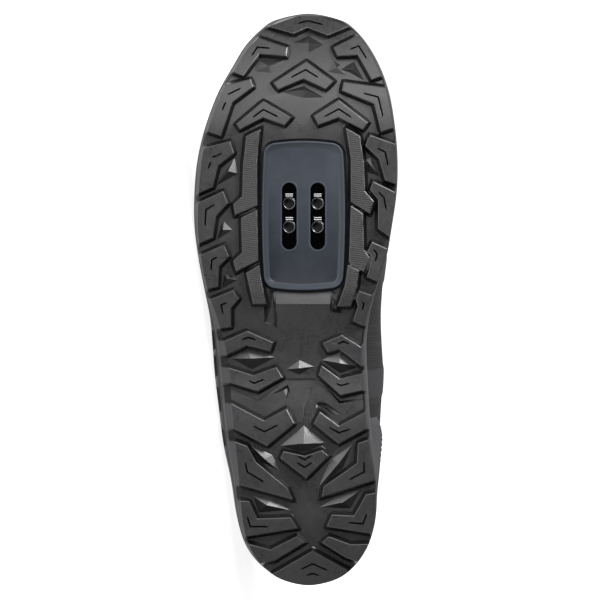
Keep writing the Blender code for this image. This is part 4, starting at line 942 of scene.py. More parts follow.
def rubber_paint(name, low, high, roughness, specular):
    """Moulded rubber: pebbled grain, cloudy patches, painted shade on the lug walls and in marked grooves,
    slightly paler tops, and paler painted light where marked.
    """
    paint = Paint(name)
    where = paint.object_place()
    height = paint.attribute("relief")
    cloud = paint.noise(70.0, 4.0, 0.6, where)
    mottle = paint.noise(650.0, 3.0, 0.65, where)
    speck = paint.noise(2600.0, 2.0, 0.6, where)
    worn = paint.math("ADD", height, paint.ramp(cloud, 0.35, 0.7, -0.25, 0.25))
    colour = paint.mix(worn, grey(low), grey(high))
    colour = paint.mix(paint.ramp(mottle, 0.30, 0.70, 0.35, 0.0), colour, grey(low * 0.6))
    colour = paint.mix(paint.ramp(speck, 0.45, 0.75, 0.0, 0.40), colour, grey(high * 1.5))
    # Painted shade: the lug walls between the top edge and the web, and the marked grooves, are painted
    # nearly black.
    shade_below_edge = paint.ramp(height, 0.88, 0.965, 1.0, 0.0)
    shade_above_web = paint.ramp(height, 0.0, 0.05, 0.0, 1.0)
    colour = paint.mix(paint.math("MULTIPLY", shade_below_edge, shade_above_web), colour, grey(low * 0.22))
    # Marks above 1.1 are painted paler: painted light on the medial side and a painted highlight along
    # edges.
    colour = paint.mix(paint.ramp(height, 1.1, 1.9), colour, grey(high * 3.0))
    rough = paint.math("ADD", paint.ramp(cloud, 0.3, 0.7, roughness - 0.04, roughness + 0.05),
                       paint.ramp(mottle, 0.35, 0.65, -0.035, 0.045))
    grain = paint.bump(paint.noise(1100.0, 4.0, 0.65, where), 0.00010, 0.6)
    lines = paint.node("TexWave", {"bands_direction": "X", "wave_profile": "SIN"}, Scale=330.0,
                       Vector=where).outputs["Fac"]
    ribs = paint.math("MULTIPLY", lines, paint.attribute("ribbed"))
    paint.surface(Base_Color=colour, Roughness=rough, Specular_IOR_Level=specular,
                  Normal=paint.bump(ribs, 0.00008, 0.8, grain))
    return paint.material


def boxed(polygon, margin=0.002):
    """A polygon with the corners of its box grown by a margin."""
    xs, ys = [p.x for p in polygon], [p.y for p in polygon]
    return polygon, min(xs) - margin, max(xs) + margin, min(ys) - margin, max(ys) + margin


def near(point, shape):
    return shape[1] < point.x < shape[2] and shape[3] < point.y < shape[4]


RAISED = {name: boxed([place(p) for p in corners]) for name, corners in {**LUGS, **RAILS}.items()}
SUNK = {name: boxed([place(p) for p in corners]) for name, corners in PITS.items()}
POINTED = {name: boxed([place(p) for p in corners]) for name, corners in {**PEAKS, **LOW_PEAKS}.items()}
CUTS = {name: boxed([place(p) for p in line]) for name, line in SIPES.items()}
STEPS = {name: boxed([place(p) for p in line]) for name, line in WEB_STEPS.items()}
SLOPE = boxed([place(p) for p in RAMP])


def fan_height(point, corners):
    """Height share of a low pyramid at a plan point."""
    top = corners[4]
    for a, b in zip(corners[:4], corners[1:4] + corners[:1]):
        whole = (a - top).cross(b - top)
        if abs(whole) < 1e-12:
            continue
        share_a = (point - top).cross(b - top) / whole
        share_b = (a - top).cross(point - top) / whole
        if share_a >= -1e-6 and share_b >= -1e-6 and share_a + share_b <= 1.0:
            return 1.0 - share_a - share_b
    return 0.0


def edge_height(away):
    """Share of a lug's height at a distance out of its outline."""
    if away <= LUG_EDGE[0][0]:
        return 1.0
    for (a, high), (b, low) in zip(LUG_EDGE, LUG_EDGE[1:]):
        if away <= b:
            return high + (low - high) * (away - a) / (b - a)
    return 0.0


def relief(point):
    """How far the tread stands out of the web at a plan point, and its share of lug, which also marks the
    grooves that the paint darkens as painted shade.
    """
    high, lug = 0.0, 0.0
    for shape in SUNK.values():
        if near(point, shape):
            away = max(outer_distance(point, shape[0]), 0.0)
            high = min(high, -pit_depth * max(0.0, 1.0 - away / pit_slope))
    if high == 0.0:
        for name, shape in POINTED.items():
            if near(point, shape):
                tall = peak_height if name in PEAKS else low_peak_height
                high = max(high, tall * fan_height(point, shape[0]))
    if near(point, SLOPE) and inside(point, SLOPE[0]):
        deep, flush = SLOPE[0][0].x, SLOPE[0][2].x
        high = min(high, -ramp_depth * (point.x - flush) / (deep - flush))
    # Web steps take half a lug's share, so the paint darkens them: painted shade in the grooves.
    for shape in STEPS.values():
        if near(point, shape):
            share = groove_share(point, shape[0], step_half_width)
            high, lug = min(high, -step_depth * share), max(lug, 0.5 * share)
    for shape in RAISED.values():
        if near(point, shape):
            share = edge_height(outer_distance(point, shape[0]))
            high, lug = max(high, lug_depth * share), max(lug, share)
    # Sipes lower the lug's share, so the paint darkens them: painted shade in the grooves.
    if lug > 0.9:
        for shape in CUTS.values():
            if near(point, shape):
                share = groove_share(point, shape[0], sipe_half_width)
                high, lug = high - sipe_depth * share, lug - 0.5 * share
    return high, lug


def facet_slot(point):
    """Paint of a pyramid's facet at a plan point: polished and paler toward the toe as painted light, matt
    and darker away from it as painted shade.
    """
    step = Vector(facet_step)
    for name in FACETED:
        corners = POINTED[name][0]
        if near(point, POINTED[name]) and fan_height(point, corners) > 0.0:
            return 1 if fan_height(point + step, corners) < fan_height(point - step, corners) else 3
    return 0


def groove_share(point, line, half_width):
    """Share of a groove's depth at a plan point: a V that runs out at both ends."""
    across = max(0.0, 1.0 - line_distance(point, line) / half_width)
    end = min((point - line[0]).length, (point - line[-1]).length)
    return across * min(1.0, end / sipe_taper)


def tapered(line):
    """An open line with extra points where its groove has reached its full depth."""
    first = line[0] + (line[1] - line[0]).normalized() * sipe_taper
    last = line[-1] + (line[-2] - line[-1]).normalized() * sipe_taper
    return [line[0], first] + line[1:-1] + [last, line[-1]]


def groove_outline(line, half_width):
    """Closed outline around an open line, pointed at its ends, with mitred elbows."""
    left, right = [], []
    for a, b, c in zip(line, line[1:], line[2:]):
        before, after = (b - a).normalized(), (c - b).normalized()
        both = (before + after).normalized()
        across = Vector((-both.y, both.x)) * (half_width / max(both.dot(before), 0.5))
        left.append(b + across)
        right.append(b - across)
    return [line[0]] + left + [line[-1]] + right[::-1] + [line[0]]


def tread_creases():
    """Lines that the tread's mesh follows."""
    lines = []
    for shape in RAISED.values():
        for outward, _ in LUG_EDGE:
            ring = grown(shape[0], outward) if outward else shape[0]
            lines.append(divided(ring + ring[:1], crease_spacing))
    for shape in SUNK.values():
        outer = grown(shape[0], pit_slope)
        lines += [shape[0] + shape[0][:1], outer + outer[:1]]
    for shape in POINTED.values():
        corners, top = shape[0][:4], shape[0][4]
        lines.append(corners + corners[:1])
        lines += [[corner, top] for corner in corners]
    for shapes, half_width in ((CUTS, sipe_half_width), (STEPS, step_half_width)):
        for shape in shapes.values():
            middle = tapered(shape[0])
            lines += [middle, groove_outline(middle, half_width)]
    lines.append(SLOPE[0] + SLOPE[0][:1])
    return lines


def make_outsole():
    """Rubber tray with its lugs, sipes, rails, web, low pyramids and its wrap up the side."""
    tread, wrap = sole_loop(0.0), sole_loop(sidewall_share)
    middle = sole_loop(sidewall_share * 0.8)
    window = rounded_plate(plate_gap)
    free = grid_points([tread, window], web_spacing, web_margin)
    verts, faces = fill([tread, window], tread_creases(), free)
    body = Body()
    bottom, lugs = {}, {}
    for index in sorted({i for face in faces for i in face}):
        spot = verts[index]
        high, lug = relief(spot)
        ribbed = 1.0 if lug > 0.9 and any(
            near(spot, RAISED[rail]) and inside(spot, RAISED[rail][0]) for rail in RAILS) else 0.0
        bottom[index] = body.vert((spot.x, spot.y, rubber_top(spot.x) - web_thickness - high),
                                  relief=lug, ribbed=ribbed)
        lugs[index] = lug
    sides = {}
    for face in faces:
        middle_spot = sum((verts[i] for i in face), Vector((0.0, 0.0))) / len(face)
        on_web = max(lugs[i] for i in face) < 0.05
        body.face([bottom[i] for i in face], facet_slot(middle_spot) if on_web else 0)
        for a, b in zip(face, face[1:] + face[:1]):
            sides.setdefault(frozenset((a, b)), []).append((a, b))
    rims = [pair[0] for pair in sides.values() if len(pair) == 1]
    follow = dict(rims)
    mids, tops, rings = {}, {}, []
    while follow:
        here = next(iter(follow))
        loop = []
        while here in follow:
            loop.append(here)
            here = follow.pop(here)
        outer = line_distance(verts[loop[0]], tread) < line_distance(verts[loop[0]], window)
        for index in loop:
            spot = verts[index]
            low = bottom[index].co.z
            top = rubber_top(spot.x)
            mid, end = spot, spot
            if outer:
                span, t = nearest_span(spot, tread)
                mid = middle[span].lerp(middle[(span + 1) % len(middle)], t)
                end = wrap[span].lerp(wrap[(span + 1) % len(wrap)], t)
            # The medial side of the wrap is marked pale: painted light.
            medial_light_mark = medial_painted_light if outer and spot.y > middle_line else 1.0
            mids[index] = body.vert((mid.x, mid.y, low + (top - low) * 0.55), relief=medial_light_mark)
            tops[index] = body.vert((end.x, end.y, top), relief=medial_light_mark)
        rings.append([tops[i] for i in loop])
    for a, b in rims:
        body.face((bottom[b], bottom[a], mids[a], mids[b]), 2)
        body.face((mids[b], mids[a], tops[a], tops[b]), 2)
    rings.sort(key=len, reverse=True)
    body.cap(rings, rubber_top, lid_spacing)
    # The toe-facing facets take a paler paint as painted light, the heel-facing ones a darker paint as
    # painted shade.
    paints = [rubber_paint("tread_rubber", 0.011, 0.016, 0.33, 0.45),
              rubber_paint("polished_painted_light_rubber", 0.018, 0.028, 0.46, 0.95),
              rubber_paint("sidewall_rubber", 0.026, 0.036, 0.60, 0.20),
              rubber_paint("matt_painted_shade_rubber", 0.004, 0.007, 0.70, 0.20)]
    thing = body.finish("outsole_rubber", paints, 9.0)
    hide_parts("outsole")


def nearest_span(point, loop):
    """Index and share of the span of a closed loop that is nearest to a plan point."""
    best = (1.0, 0, 0.0)
    for index, a in enumerate(loop):
        run = loop[(index + 1) % len(loop)] - a
        t = min(max((point - a).dot(run) / max(run.length_squared, 1e-12), 0.0), 1.0)
        best = min(best, ((a + run * t - point).length, index, t))
    return best[1], best[2]


def notch(point, side, up):
    """Depth of the side recesses at a point of the lateral edge."""
    if side > 0:
        return 0.0
    depth = 0.0
    for along, length in NOTCHES:
        away = abs(point.x - along * sole_length)
        depth = max(depth, notch_depth * smoothstep((length / 2 - away) / (length / 8)))
    return depth * smoothstep((up - 0.10) / 0.08) * smoothstep((0.66 - up) / 0.08)


def make_midsole():
    """Foam band between rubber and upper, with side recesses, a groove and a pocket."""
    last = (len(PLAN) + 1) * outline_step
    wrap, full = sole_loop(sidewall_share), sole_loop(1.0)
    body = Body()
    rings = []
    for share, up, groove in MIDSOLE_SIDE:
        points = []
        for index, (a, b) in enumerate(zip(wrap, full)):
            inward = (wrap[index] - full[index]).normalized()
            spot = a.lerp(b, share)
            cut = notch(spot, -1 if index < last else 1, up)
            spot = spot + inward * (cut + groove)
            low = rubber_top(spot.x) + clearance
            high = low + (sole_top(spot.x) - low) * up
            # The outer part of the midsole's lower side is marked for a pale line, wider on the medial
            # side: a painted highlight.
            highlight_band_from = 0.75 if index < last else 0.25
            mark = edge_painted_highlight if share > highlight_band_from and up < 0.6 else 1.0
            # The side recesses are marked for a dark colour: painted shade in the notches.
            mark = 0.5 if cut > notch_depth / 2 else mark
            points.append(body.vert((spot.x, spot.y, high), relief=mark))
        rings.append(points)
    for low, high in zip(rings, rings[1:]):
        body.strip(low, high)
    pocket = rounded_plate(flange_width + clearance)
    mouth = body.ring([Vector((p.x, p.y, rubber_top(p.x) + clearance)) for p in pocket])
    ceiling = body.ring([Vector((p.x, p.y, pocket_top())) for p in pocket])
    body.strip(mouth, ceiling)
    body.cap([rings[0], mouth], lambda x: rubber_top(x) + clearance, lid_spacing)
    body.cap([ceiling], lambda x: pocket_top())
    body.cap([rings[-1]], sole_top, lid_spacing)
    thing = body.finish("midsole_foam", [rubber_paint("moulded_foam", 0.022, 0.034, 0.65, 0.15)])
    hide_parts("midsole")


def plate_top():
    """Upper face of the cleat plate, under the nut plate."""
    return plate_floor_height + plate_thickness


def flange_low():
    """Lower face of the plate's flange, which the rubber's window edge holds."""
    return lug_depth + web_thickness + clearance


def pocket_top():
    """Ceiling of the midsole's pocket, over the nut plate."""
    return max(plate_top() + nut_plate_thickness + clearance,
               flange_low() + flange_thickness) + clearance


def round_corner_box(centre, half_x, half_y, corner, barrel, steps):
    """Outline of a box with round corners and slightly barrelled sides."""
    outline = []
    for quarter in range(4):
        sign_x = 1 if quarter in (0, 3) else -1
        sign_y = 1 if quarter in (0, 1) else -1
        for step in range(steps + 1):
            angle = math.radians(90.0 * (quarter + step / steps))
            outline.append(centre + Vector((sign_x * (half_x - corner) + corner * math.cos(angle),
                                            sign_y * (half_y - corner) + corner * math.sin(angle))))
        along_x = quarter in (0, 2)
        for index in range(1, 8):
            share = 1.0 - index / 4
            swell = barrel * (1.0 - share * share)
            if along_x:
                spot = Vector((sign_x * share * (half_x - corner), sign_y * (half_y + swell)))
            else:
                spot = Vector((sign_x * (half_x + swell), sign_y * share * (half_y - corner)))
            outline.append(centre + spot)
    return outline


def rounded_plate(grow):
    """Outline of the cleat plate, grown outward."""
    return round_corner_box(place((plate_along, plate_across)), plate_length / 2 + grow,
                            plate_width / 2 + grow, max(plate_corner + grow, 0.001), plate_barrel, 10)


def slot_outline(side, grow=0.0):
    """One long slot of the cleat plate, with round ends."""
    centre = place((plate_along, plate_across)) + Vector((slot_shift, side * slot_spacing / 2))
    reach = (slot_length - slot_width) / 2
    points = []
    for end in (1, -1):
        for step in range(17):
            angle = math.radians(-90.0 * end + 11.25 * step)
            points.append(centre + Vector((end * reach, 0.0))
                          + (slot_width / 2 + grow) * Vector((math.cos(angle), math.sin(angle))))
    return points


def level(points, height):
    return [Vector((p.x, p.y, height)) for p in points]


def make_cleat_plate():
    """Nylon tray with a rounded rim, a bevel, a flat floor and two lipped slots."""
    body = Body()
    # The rim and its bevel are marked for a paler colour: a painted highlight.
    rings = [body.ring(level(rounded_plate(out), height), relief=0.0 if out < -0.003 else 1.0)
             for out, height in PLATE_SECTION]
    top = flange_low() + flange_thickness
    for out, height in ((0.0, flange_low()), (flange_width, flange_low()), (flange_width, top),
                        (-plate_bevel, top), (-plate_bevel, plate_top())):
        rings.append(body.ring(level(rounded_plate(out), height)))
    for low, high in zip(rings, rings[1:]):
        body.strip(low, high)
    mouths, decks = [], []
    floor = plate_floor_height
    lip = floor - slot_lip_height
    for side in (-1, 1):
        # The lips round the slots are marked paler: a painted highlight.
        outer = body.ring(level(slot_outline(side, slot_lip_width), floor), relief=0.2)
        crest = body.ring(level(slot_outline(side, slot_lip_width * 0.7), lip), relief=0.9)
        inner = body.ring(level(slot_outline(side, slot_lip_width * 0.25), lip), relief=0.9)
        edge = body.ring(level(slot_outline(side), floor), relief=0.3)
        deck = body.ring(level(slot_outline(side), plate_top()))
        for low, high in zip((outer, crest, inner, edge), (crest, inner, edge, deck)):
            body.strip(low, high)
        mouths.append(outer)
        decks.append(deck)
    body.cap([rings[0]] + mouths, lambda x: floor)
    body.cap([rings[-1]] + decks, lambda x: plate_top())
    paint = Paint("filled_nylon")
    where = paint.object_place()
    drawn = paint.node("Mapping", Vector=where, Scale=(1.0, 2.2, 2.2)).outputs[0]
    fibre = paint.noise(700.0, 4.0, 0.65, drawn)
    cloud = paint.noise(140.0, 3.0, 0.5, where)
    run = paint.node("SeparateXYZ", Vector=where).outputs["X"]
    # Painted light: the plate's colour runs from paler at one end to nearly black at the other, with cloudy
    # tone on top.
    shade = paint.math("ADD", paint.ramp(run, -0.082, -0.008), paint.ramp(cloud, 0.3, 0.7, -0.1, 0.1))
    colour = paint.mix(shade, (0.0235, 0.0275, 0.0360, 1), (0.0020, 0.0038, 0.0085, 1))
    # Marked rims and lips take the paler colour of the painted highlight.
    colour = paint.mix(paint.attribute("relief"), colour, (0.030, 0.035, 0.044, 1))
    paint.surface(Base_Color=colour, Roughness=paint.ramp(fibre, 0.3, 0.7, 0.36, 0.50),
                  Specular_IOR_Level=0.24, Normal=paint.bump(fibre, 0.00003, 0.6))
    thing = body.finish("cleat_plate_nylon", [paint.material])
    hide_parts("cleat_plate")


def circle(centre, radius):
    """Plan points of a circle round a barrel."""
    angles = [math.tau * i / nut_turns for i in range(nut_turns)]
    return [centre + radius * Vector((math.cos(angle), math.sin(angle))) for angle in angles]


def make_cleat_nuts():
    """Steel plate behind the slots, with four threaded barrels and a few cast ribs."""
    body = Body()
    centre = place((plate_along, plate_across)) + Vector((slot_shift, 0.0))
    low = plate_top() + clearance
    high = low + nut_plate_thickness
    tip = plate_top() - nut_height
    outline = round_corner_box(centre, nut_plate_length / 2, nut_plate_width / 2,
                               nut_plate_corner, 0.0, 6)
    base, lid = body.ring(level(outline, low)), body.ring(level(outline, high))
    body.strip(base, lid)
    roots, mouths = [], []
    barrels = [centre + Vector((side_x * nut_pitch / 2 + nut_shift, side_y * slot_spacing / 2))
               for side_x in (-1, 1) for side_y in (-1, 1)]
    depth = tip + nut_rounding * 1.6
    levels = [(nut_outer / 2, low), (nut_outer / 2, tip + nut_rounding),
              (nut_outer / 2 - nut_rounding, tip), (nut_bore / 2 + nut_rounding * 1.6, tip),
              (nut_bore / 2, depth)]
    while depth + thread_pitch < high - nut_rounding:
        levels.append((nut_bore / 2 - nut_rounding, depth + thread_pitch / 2))
        levels.append((nut_bore / 2, depth + thread_pitch))
        depth += thread_pitch
    levels.append((nut_bore / 2, high))
    for spot in barrels:
        # Only the barrels are marked; the roots and the plate's faces stay unmarked, which the paint makes
        # near black as painted shade in the slots.
        rings = [body.ring(level(circle(spot, radius), height), relief=0.0 if height == low else 1.0)
                 for radius, height in levels]
        for a, b in zip(rings, rings[1:]):
            body.strip(a, b)
        roots.append(rings[0])
        mouths.append(rings[-1])
    body.cap([base] + roots, lambda x: low)
    body.cap([lid] + mouths, lambda x: high)
    for spot in barrels:
        for step, height in NUT_RIBS:
            ring = round_corner_box(spot + Vector((step, 0.0)), nut_rib_half_width,
                                    nut_rib_half_length, nut_rib_corner, 0.0, 2)
            foot = body.ring(level(ring, low + nut_rib_foot))
            # Rib crests are marked for a pale colour: a painted glint.
            crest = body.ring(level(ring, low - height), relief=2.0)
            body.strip(foot, crest)
            body.cap([foot], lambda x: low + nut_rib_foot)
            body.cap([crest], lambda x, h=height: low - h)
    # Blackened steel, painted near black where unmarked as painted shade in the slots, and pale on the rib
    # crests as a painted glint.
    paint = Paint("blackened_steel_painted_shade_and_glint")
    where = paint.object_place()
    scratch = paint.noise(900.0, 5.0, 0.7, where)
    colour = paint.mix(paint.ramp(scratch, 0.35, 0.75), (0.050, 0.050, 0.054, 1), (0.11, 0.11, 0.12, 1))
    colour = paint.mix(paint.attribute("relief"), (0.003, 0.003, 0.003, 1), colour)
    ribs = paint.ramp(paint.attribute("relief"), 1.0, 2.0)
    colour = paint.mix(ribs, colour, (0.50, 0.50, 0.52, 1))
    rough = paint.math("ADD", paint.ramp(scratch, 0.3, 0.7, 0.20, 0.34), paint.math("MULTIPLY", ribs, 0.2))
    paint.surface(Base_Color=colour, Metallic=1.0, Roughness=rough,
                  Normal=paint.bump(scratch, 0.00001, 0.4))
    thing = body.finish("cleat_nuts_steel", [paint.material], 50.0)
    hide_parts("cleat_nuts")


def top_point(side, around):
    """The upper's top line or ridge at a place around it."""
    along = table_value(TOP_LINE, 1, around)
    height = (toe_height * table_value(TOP_LINE, 2, around)
              + instep_height * table_value(TOP_LINE, 3, around)
              + heel_height * table_value(TOP_LINE, 4, around))
    half_gap = 0.0
    if around > THROAT_AROUND:
        half_gap = (throat_width * table_value(TOP_LINE, 5, around)
                    + collar_width * table_value(TOP_LINE, 6, around))
    ridge = table_value(RIDGE, 1, along) * width_unit(along)
    return Vector((along * sole_length, ridge + side * half_gap, height))


CURVES = {}


def side_bulge(side, around):
    """How far the side stands out past the edge of the sole. The medial side has one swell at the arch."""
    line = table_value(SIDE_CURVE, 3 if side > 0 else 2, around) * ball_width
    reach = min(1.0, abs(around - arch_swell_at) / arch_swell_reach)
    swell = arch_swell * math.cos(0.5 * math.pi * reach) ** 2 if side > 0 else 0.0
    return line + swell


def side_curve(side, around):
    """The four handles of a side curve, from the sole edge to the top line."""
    key = (side, round(around, 7))
    if key in CURVES:
        return CURVES[key]
    position = position_around(side, around)
    edge = outline_point(side, True, position)
    ahead = outline_point(side, True, min(position + 0.05, len(PLAN) + 1.0))
    behind = outline_point(side, True, max(position - 0.05, 0.0))
    run = (ahead - behind).normalized()
    outward = Vector((run.y, -run.x)) * side
    if around in (0.0, 1.0):
        edge = outline_point(-1, True, 0.0 if around == 0.0 else len(PLAN) + 1.0)
        outward = Vector((1.0 if around == 0.0 else -1.0, 0.0))
    foot = edge - outward * feather_inset
    start = Vector((foot.x, foot.y, sole_top(edge.x) + clearance))
    top = top_point(side, around)
    bulge = side_bulge(side, around)
    height = top.z - start.z
    flat = Vector((start.x - top.x, start.y - top.y, 0.0))
    rise = height * table_value(SIDE_CURVE, 1, around)
    hang = height * table_value(SIDE_CURVE, 5, around)
    first = start + Vector((outward.x * bulge, outward.y * bulge, rise))
    second = top + flat * table_value(SIDE_CURVE, 4, around) - Vector((0.0, 0.0, hang))
    CURVES[key] = (start, first, second, top)
    return CURVES[key]


def upper_point(side, around, up):
    """A point of the upper's outer face: around from toe to heel, up from sole to top line."""
    start, first, second, top = side_curve(side, around)
    return (start * (1 - up)**3 + first * 3 * up * (1 - up)**2
            + second * 3 * up * up * (1 - up) + top * up**3)


def side_normal(side, around, up):
    """Outward normal of one side's outer face."""
    step = 0.01
    low, high = max(around - step, 0.0), min(around + step, 1.0)
    below, above = max(up - 0.04, 0.0), min(up + 0.04, 1.0)
    run = upper_point(side, high, up) - upper_point(side, low, up)
    rise = upper_point(side, around, above) - upper_point(side, around, below)
    return (run.cross(rise) * side).normalized()


def upper_normal(side, around, up):
    """Outward normal of the upper, shared by both sides where they meet."""
    normal = side_normal(side, around, up)
    if around <= 0.0 or around >= 1.0 or (around <= THROAT_AROUND + 1e-9 and up > 0.999):
        normal = normal + side_normal(-side, around, up)
    return normal.normalized()


def skin_point(side, around, up, out):
    """A point at a distance out of the upper's outer face (negative is inside)."""
    return upper_point(side, around, up) + upper_normal(side, around, up) * out


def wall_at(around, up):
    """Thickness of the upper's wall, padded at the collar."""
    pad = smoothstep((around - CORNER_AROUND + 0.10) / 0.10) * smoothstep((up - 0.55) / 0.35)
    return upper_wall + collar_pad * pad


def spread(low, high, spacing, *keep):
    """Places around the upper from low to high about spacing metres apart, some kept exactly."""
    half = ARCS[-1][-1][0]
    stops = sorted({low, high, *[k for k in keep if low < k < high]})
    places = [stops[0]]
    for a, b in zip(stops, stops[1:]):
        count = max(1, round((b - a) * half / spacing))
        places += [a + (b - a) * (i + 1) / count for i in range(count)]
    return places


def fabric_paint(name, low, high, pitch, roughness, laid=False):
    """Woven cloth: crossed threads at a pitch, punched holes where marked, cloudy dye and fuzz."""
    paint = Paint(name)
    where = paint.object_place()
    cloth, directions = where, ("X", "Z")
    if laid:
        cloth = paint.node("CombineXYZ", X=paint.attribute("run"), Y=paint.attribute("rise")).outputs[0]
        directions = ("X", "Y")
    waves = []
    for direction in directions:
        made = paint.node("TexWave", {"bands_direction": direction, "wave_profile": "SIN"},
                          Scale=0.314 / pitch, Distortion=0.4, Detail=1.0, Vector=cloth)
        made.inputs["Detail Scale"].default_value = 3.0
        waves.append(made.outputs["Fac"])
    weave = paint.math("MULTIPLY", waves[0], waves[1])
    cloud = paint.noise(70.0, 4.0, 0.6, where)
    fuzz = paint.noise(3000.0, 2.0, 0.7, where)
    drawn = paint.node("Mapping", Vector=cloth, Scale=(1.0, 0.12, 1.0)).outputs[0]
    slub = paint.noise(420.0, 3.0, 0.7, drawn)
    colour = paint.mix(paint.ramp(weave, 0.0, 0.6), grey(low), grey(high))
    colour = paint.mix(paint.ramp(slub, 0.45, 0.75, 0.0, 0.5), colour, grey(high * 1.5))
    colour = paint.mix(paint.ramp(cloud, 0.3, 0.75, 0.0, 0.35), colour, grey(low * 0.8))
    height = weave
    if laid:
        turned = paint.node("Mapping", Vector=cloth, Rotation=(0.0, 0.0, 0.785)).outputs[0]
        lattice = paint.node("TexVoronoi", {"voronoi_dimensions": "2D"}, Scale=1.0 / HOLE_PITCH,
                             Randomness=0.0, Vector=turned)
        hole = paint.ramp(lattice.outputs["Distance"], 0.17, 0.25, 1.0, 0.0)
        hole = paint.math("MULTIPLY", hole, paint.ramp(paint.attribute("ribbed"), 0.45, 0.55))
        film = paint.ramp(paint.attribute("relief"), 0.2, 0.8)
        colour = paint.mix(film, colour, grey(high * 1.15))
        # The holes are painted near black: painted shade in the hollow of each hole.
        colour = paint.mix(hole, colour, grey(0.001))
        height = paint.math("SUBTRACT", paint.math("MULTIPLY", weave, paint.math("SUBTRACT", 1.0, film)),
                            paint.math("MULTIPLY", hole, 3.0))
    bump = paint.bump(height, 0.00018, 0.7, paint.bump(fuzz, 0.00005, 0.5))
    paint.surface(Base_Color=colour, Roughness=roughness, Sheen_Weight=0.06, Sheen_Roughness=0.5,
                  Specular_IOR_Level=0.2, Normal=bump)
    return paint.material


def film_paint(name, low, high, roughness):
    """Moulded film: pebble grain with a low gloss."""
    paint = Paint(name)
    where = paint.object_place()
    pebble = paint.node("TexVoronoi", {"feature": "SMOOTH_F1"}, Scale=900.0,
                        Vector=where).outputs["Distance"]
    cloud = paint.noise(60.0, 4.0, 0.6, where)
    colour = paint.mix(paint.ramp(cloud, 0.3, 0.7), grey(low), grey(high))
    colour = paint.mix(paint.ramp(pebble, 0.2, 0.7, 0.0, 0.3), colour, grey(high * 1.3))
    paint.surface(Base_Color=colour, Roughness=paint.ramp(pebble, 0.1, 0.7, roughness, roughness + 0.12),
                  Normal=paint.bump(pebble, 0.00006, 0.6))
    return paint.material


def make_upper():
    """The upper's outer wall and its lining, both closed walls that share one face."""
    shell_paint = fabric_paint("upper_weave", 0.014, 0.030, 0.0013, 0.85, True)
    lining_paint = fabric_paint("lining_knit", 0.030, 0.055, 0.0010, 0.95)
    places = spread(0.0, 1.0, column_spacing, *[row[0] for row in TOP_LINE])
    for name, near_share, far_share, paint in (("upper_shell", 0.0, lining_share, shell_paint),
                                               ("upper_lining", lining_share, 1.0, lining_paint)):
        body = Body()
        faces = {}
        for skin, share in (("outer", near_share), ("inner", far_share)):
            for side in (-1, 1):
                for column, around in enumerate(places):
                    for row in range(rows_up + 1):
                        up = row / rows_up
                        raised = seam_height(side, around, up) if share == 0.0 else 0.0
                        rounding = 0.0008 * smoothstep((up - 0.975) / 0.025) if share in (0.0, 1.0) else 0.0
                        if around < THROAT_AROUND:
                            rounding = 0.0
                        depth = wall_at(around, up) * share
                        depth += rounding if share == 0.0 else -rounding
                        spot = skin_point(side, around, up, raised - depth)
                        if row == 0:
                            spot.z = upper_point(side, around, 0.0).z
                        faces[skin, side, column, row] = body.vert(
                            spot, relief=raised / seam_rise, run=around * UPPER_RUN, rise=up * UPPER_RISE,
                            ribbed=punched(around, up))
        last = len(places) - 1
        for side in (-1, 1):
            for column in range(last):
                for skin in ("outer", "inner"):
                    for row in range(rows_up):
                        body.face([faces[skin, side, column + i, row + j]
                                   for i, j in ((0, 0), (1, 0), (1, 1), (0, 1))])
                for row in (0, rows_up):
                    if row and places[column] < THROAT_AROUND - 1e-9:
                        continue
                    body.face((faces["outer", side, column, row], faces["outer", side, column + 1, row],
                               faces["inner", side, column + 1, row], faces["inner", side, column, row]))
        thing = body.finish(name, [paint], 60.0)
        if near_share == 0.0:
            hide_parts("upper")


def punched(around, up):
    """Whether the upper is punched at a place, as a soft share."""
    return max(min(smoothstep(0.5 + (around - a) / 0.02), smoothstep(0.5 + (b - around) / 0.02),
                   smoothstep(0.5 + (up - c) / 0.08), smoothstep(0.5 + (d - up) / 0.08))
               for a, b, c, d in PUNCHED)


def seam_height(side, around, up):
    """How far bindings and seams stand out of the upper's outer face."""
    high = 0.0
    if around > THROAT_AROUND:
        high = seam_rise * smoothstep((up - (1.0 - binding_width)) / 0.02)
    eyestay = (smoothstep((around - THROAT_AROUND + 0.01) / 0.015)
               * smoothstep((CORNER_AROUND + 0.01 - around) / 0.015))
    high = max(high, seam_rise * eyestay * smoothstep((up - (1.0 - eyestay_width)) / 0.02))
    for foot, head, half_width in STRIPS:
        middle = foot + (head - foot) * up * up
        high = max(high, seam_rise * smoothstep((half_width - abs(around - middle)) / 0.008 + 0.5))
    return high


def make_overlay(name, node, span, rows, paint):
    """A thin piece that lies on the upper on both sides, up to a top line given by a table."""
    body = Body()
    ends_open = span[0][0] > 0.0
    places = spread(span[0][0], span[-1][0], column_spacing * 0.8)
    lines = {-1: [], 1: []}
    for side in (-1, 1):
        for around in places:
            top = table_value(span, 1, around)
            end_share = (around - span[0][0]) if ends_open else (span[-1][0] - around)
            fade = 0.35 + 0.65 * smoothstep(end_share / 0.006)
            out, back = [], []
            for row in range(rows + 1):
                share = row / rows
                edge = min(1.0, 0.25 + 0.75 * smoothstep((1.0 - share) * top / 0.02))
                thick = overlay_thickness * min(edge, fade)
                out.append(skin_point(side, around, top * share, overlay_gap + thick))
                back.append(skin_point(side, around, top * share, overlay_gap))
            out[0].z = back[0].z
            lines[side].append(body.ring(out + back[::-1]))
    for side in (-1, 1):
        for a, b in zip(lines[side], lines[side][1:]):
            body.strip(a, b)
        body.end(lines[side][0] if ends_open else lines[side][-1])
    thing = body.finish(name, [paint], 50.0)
    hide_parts(node)


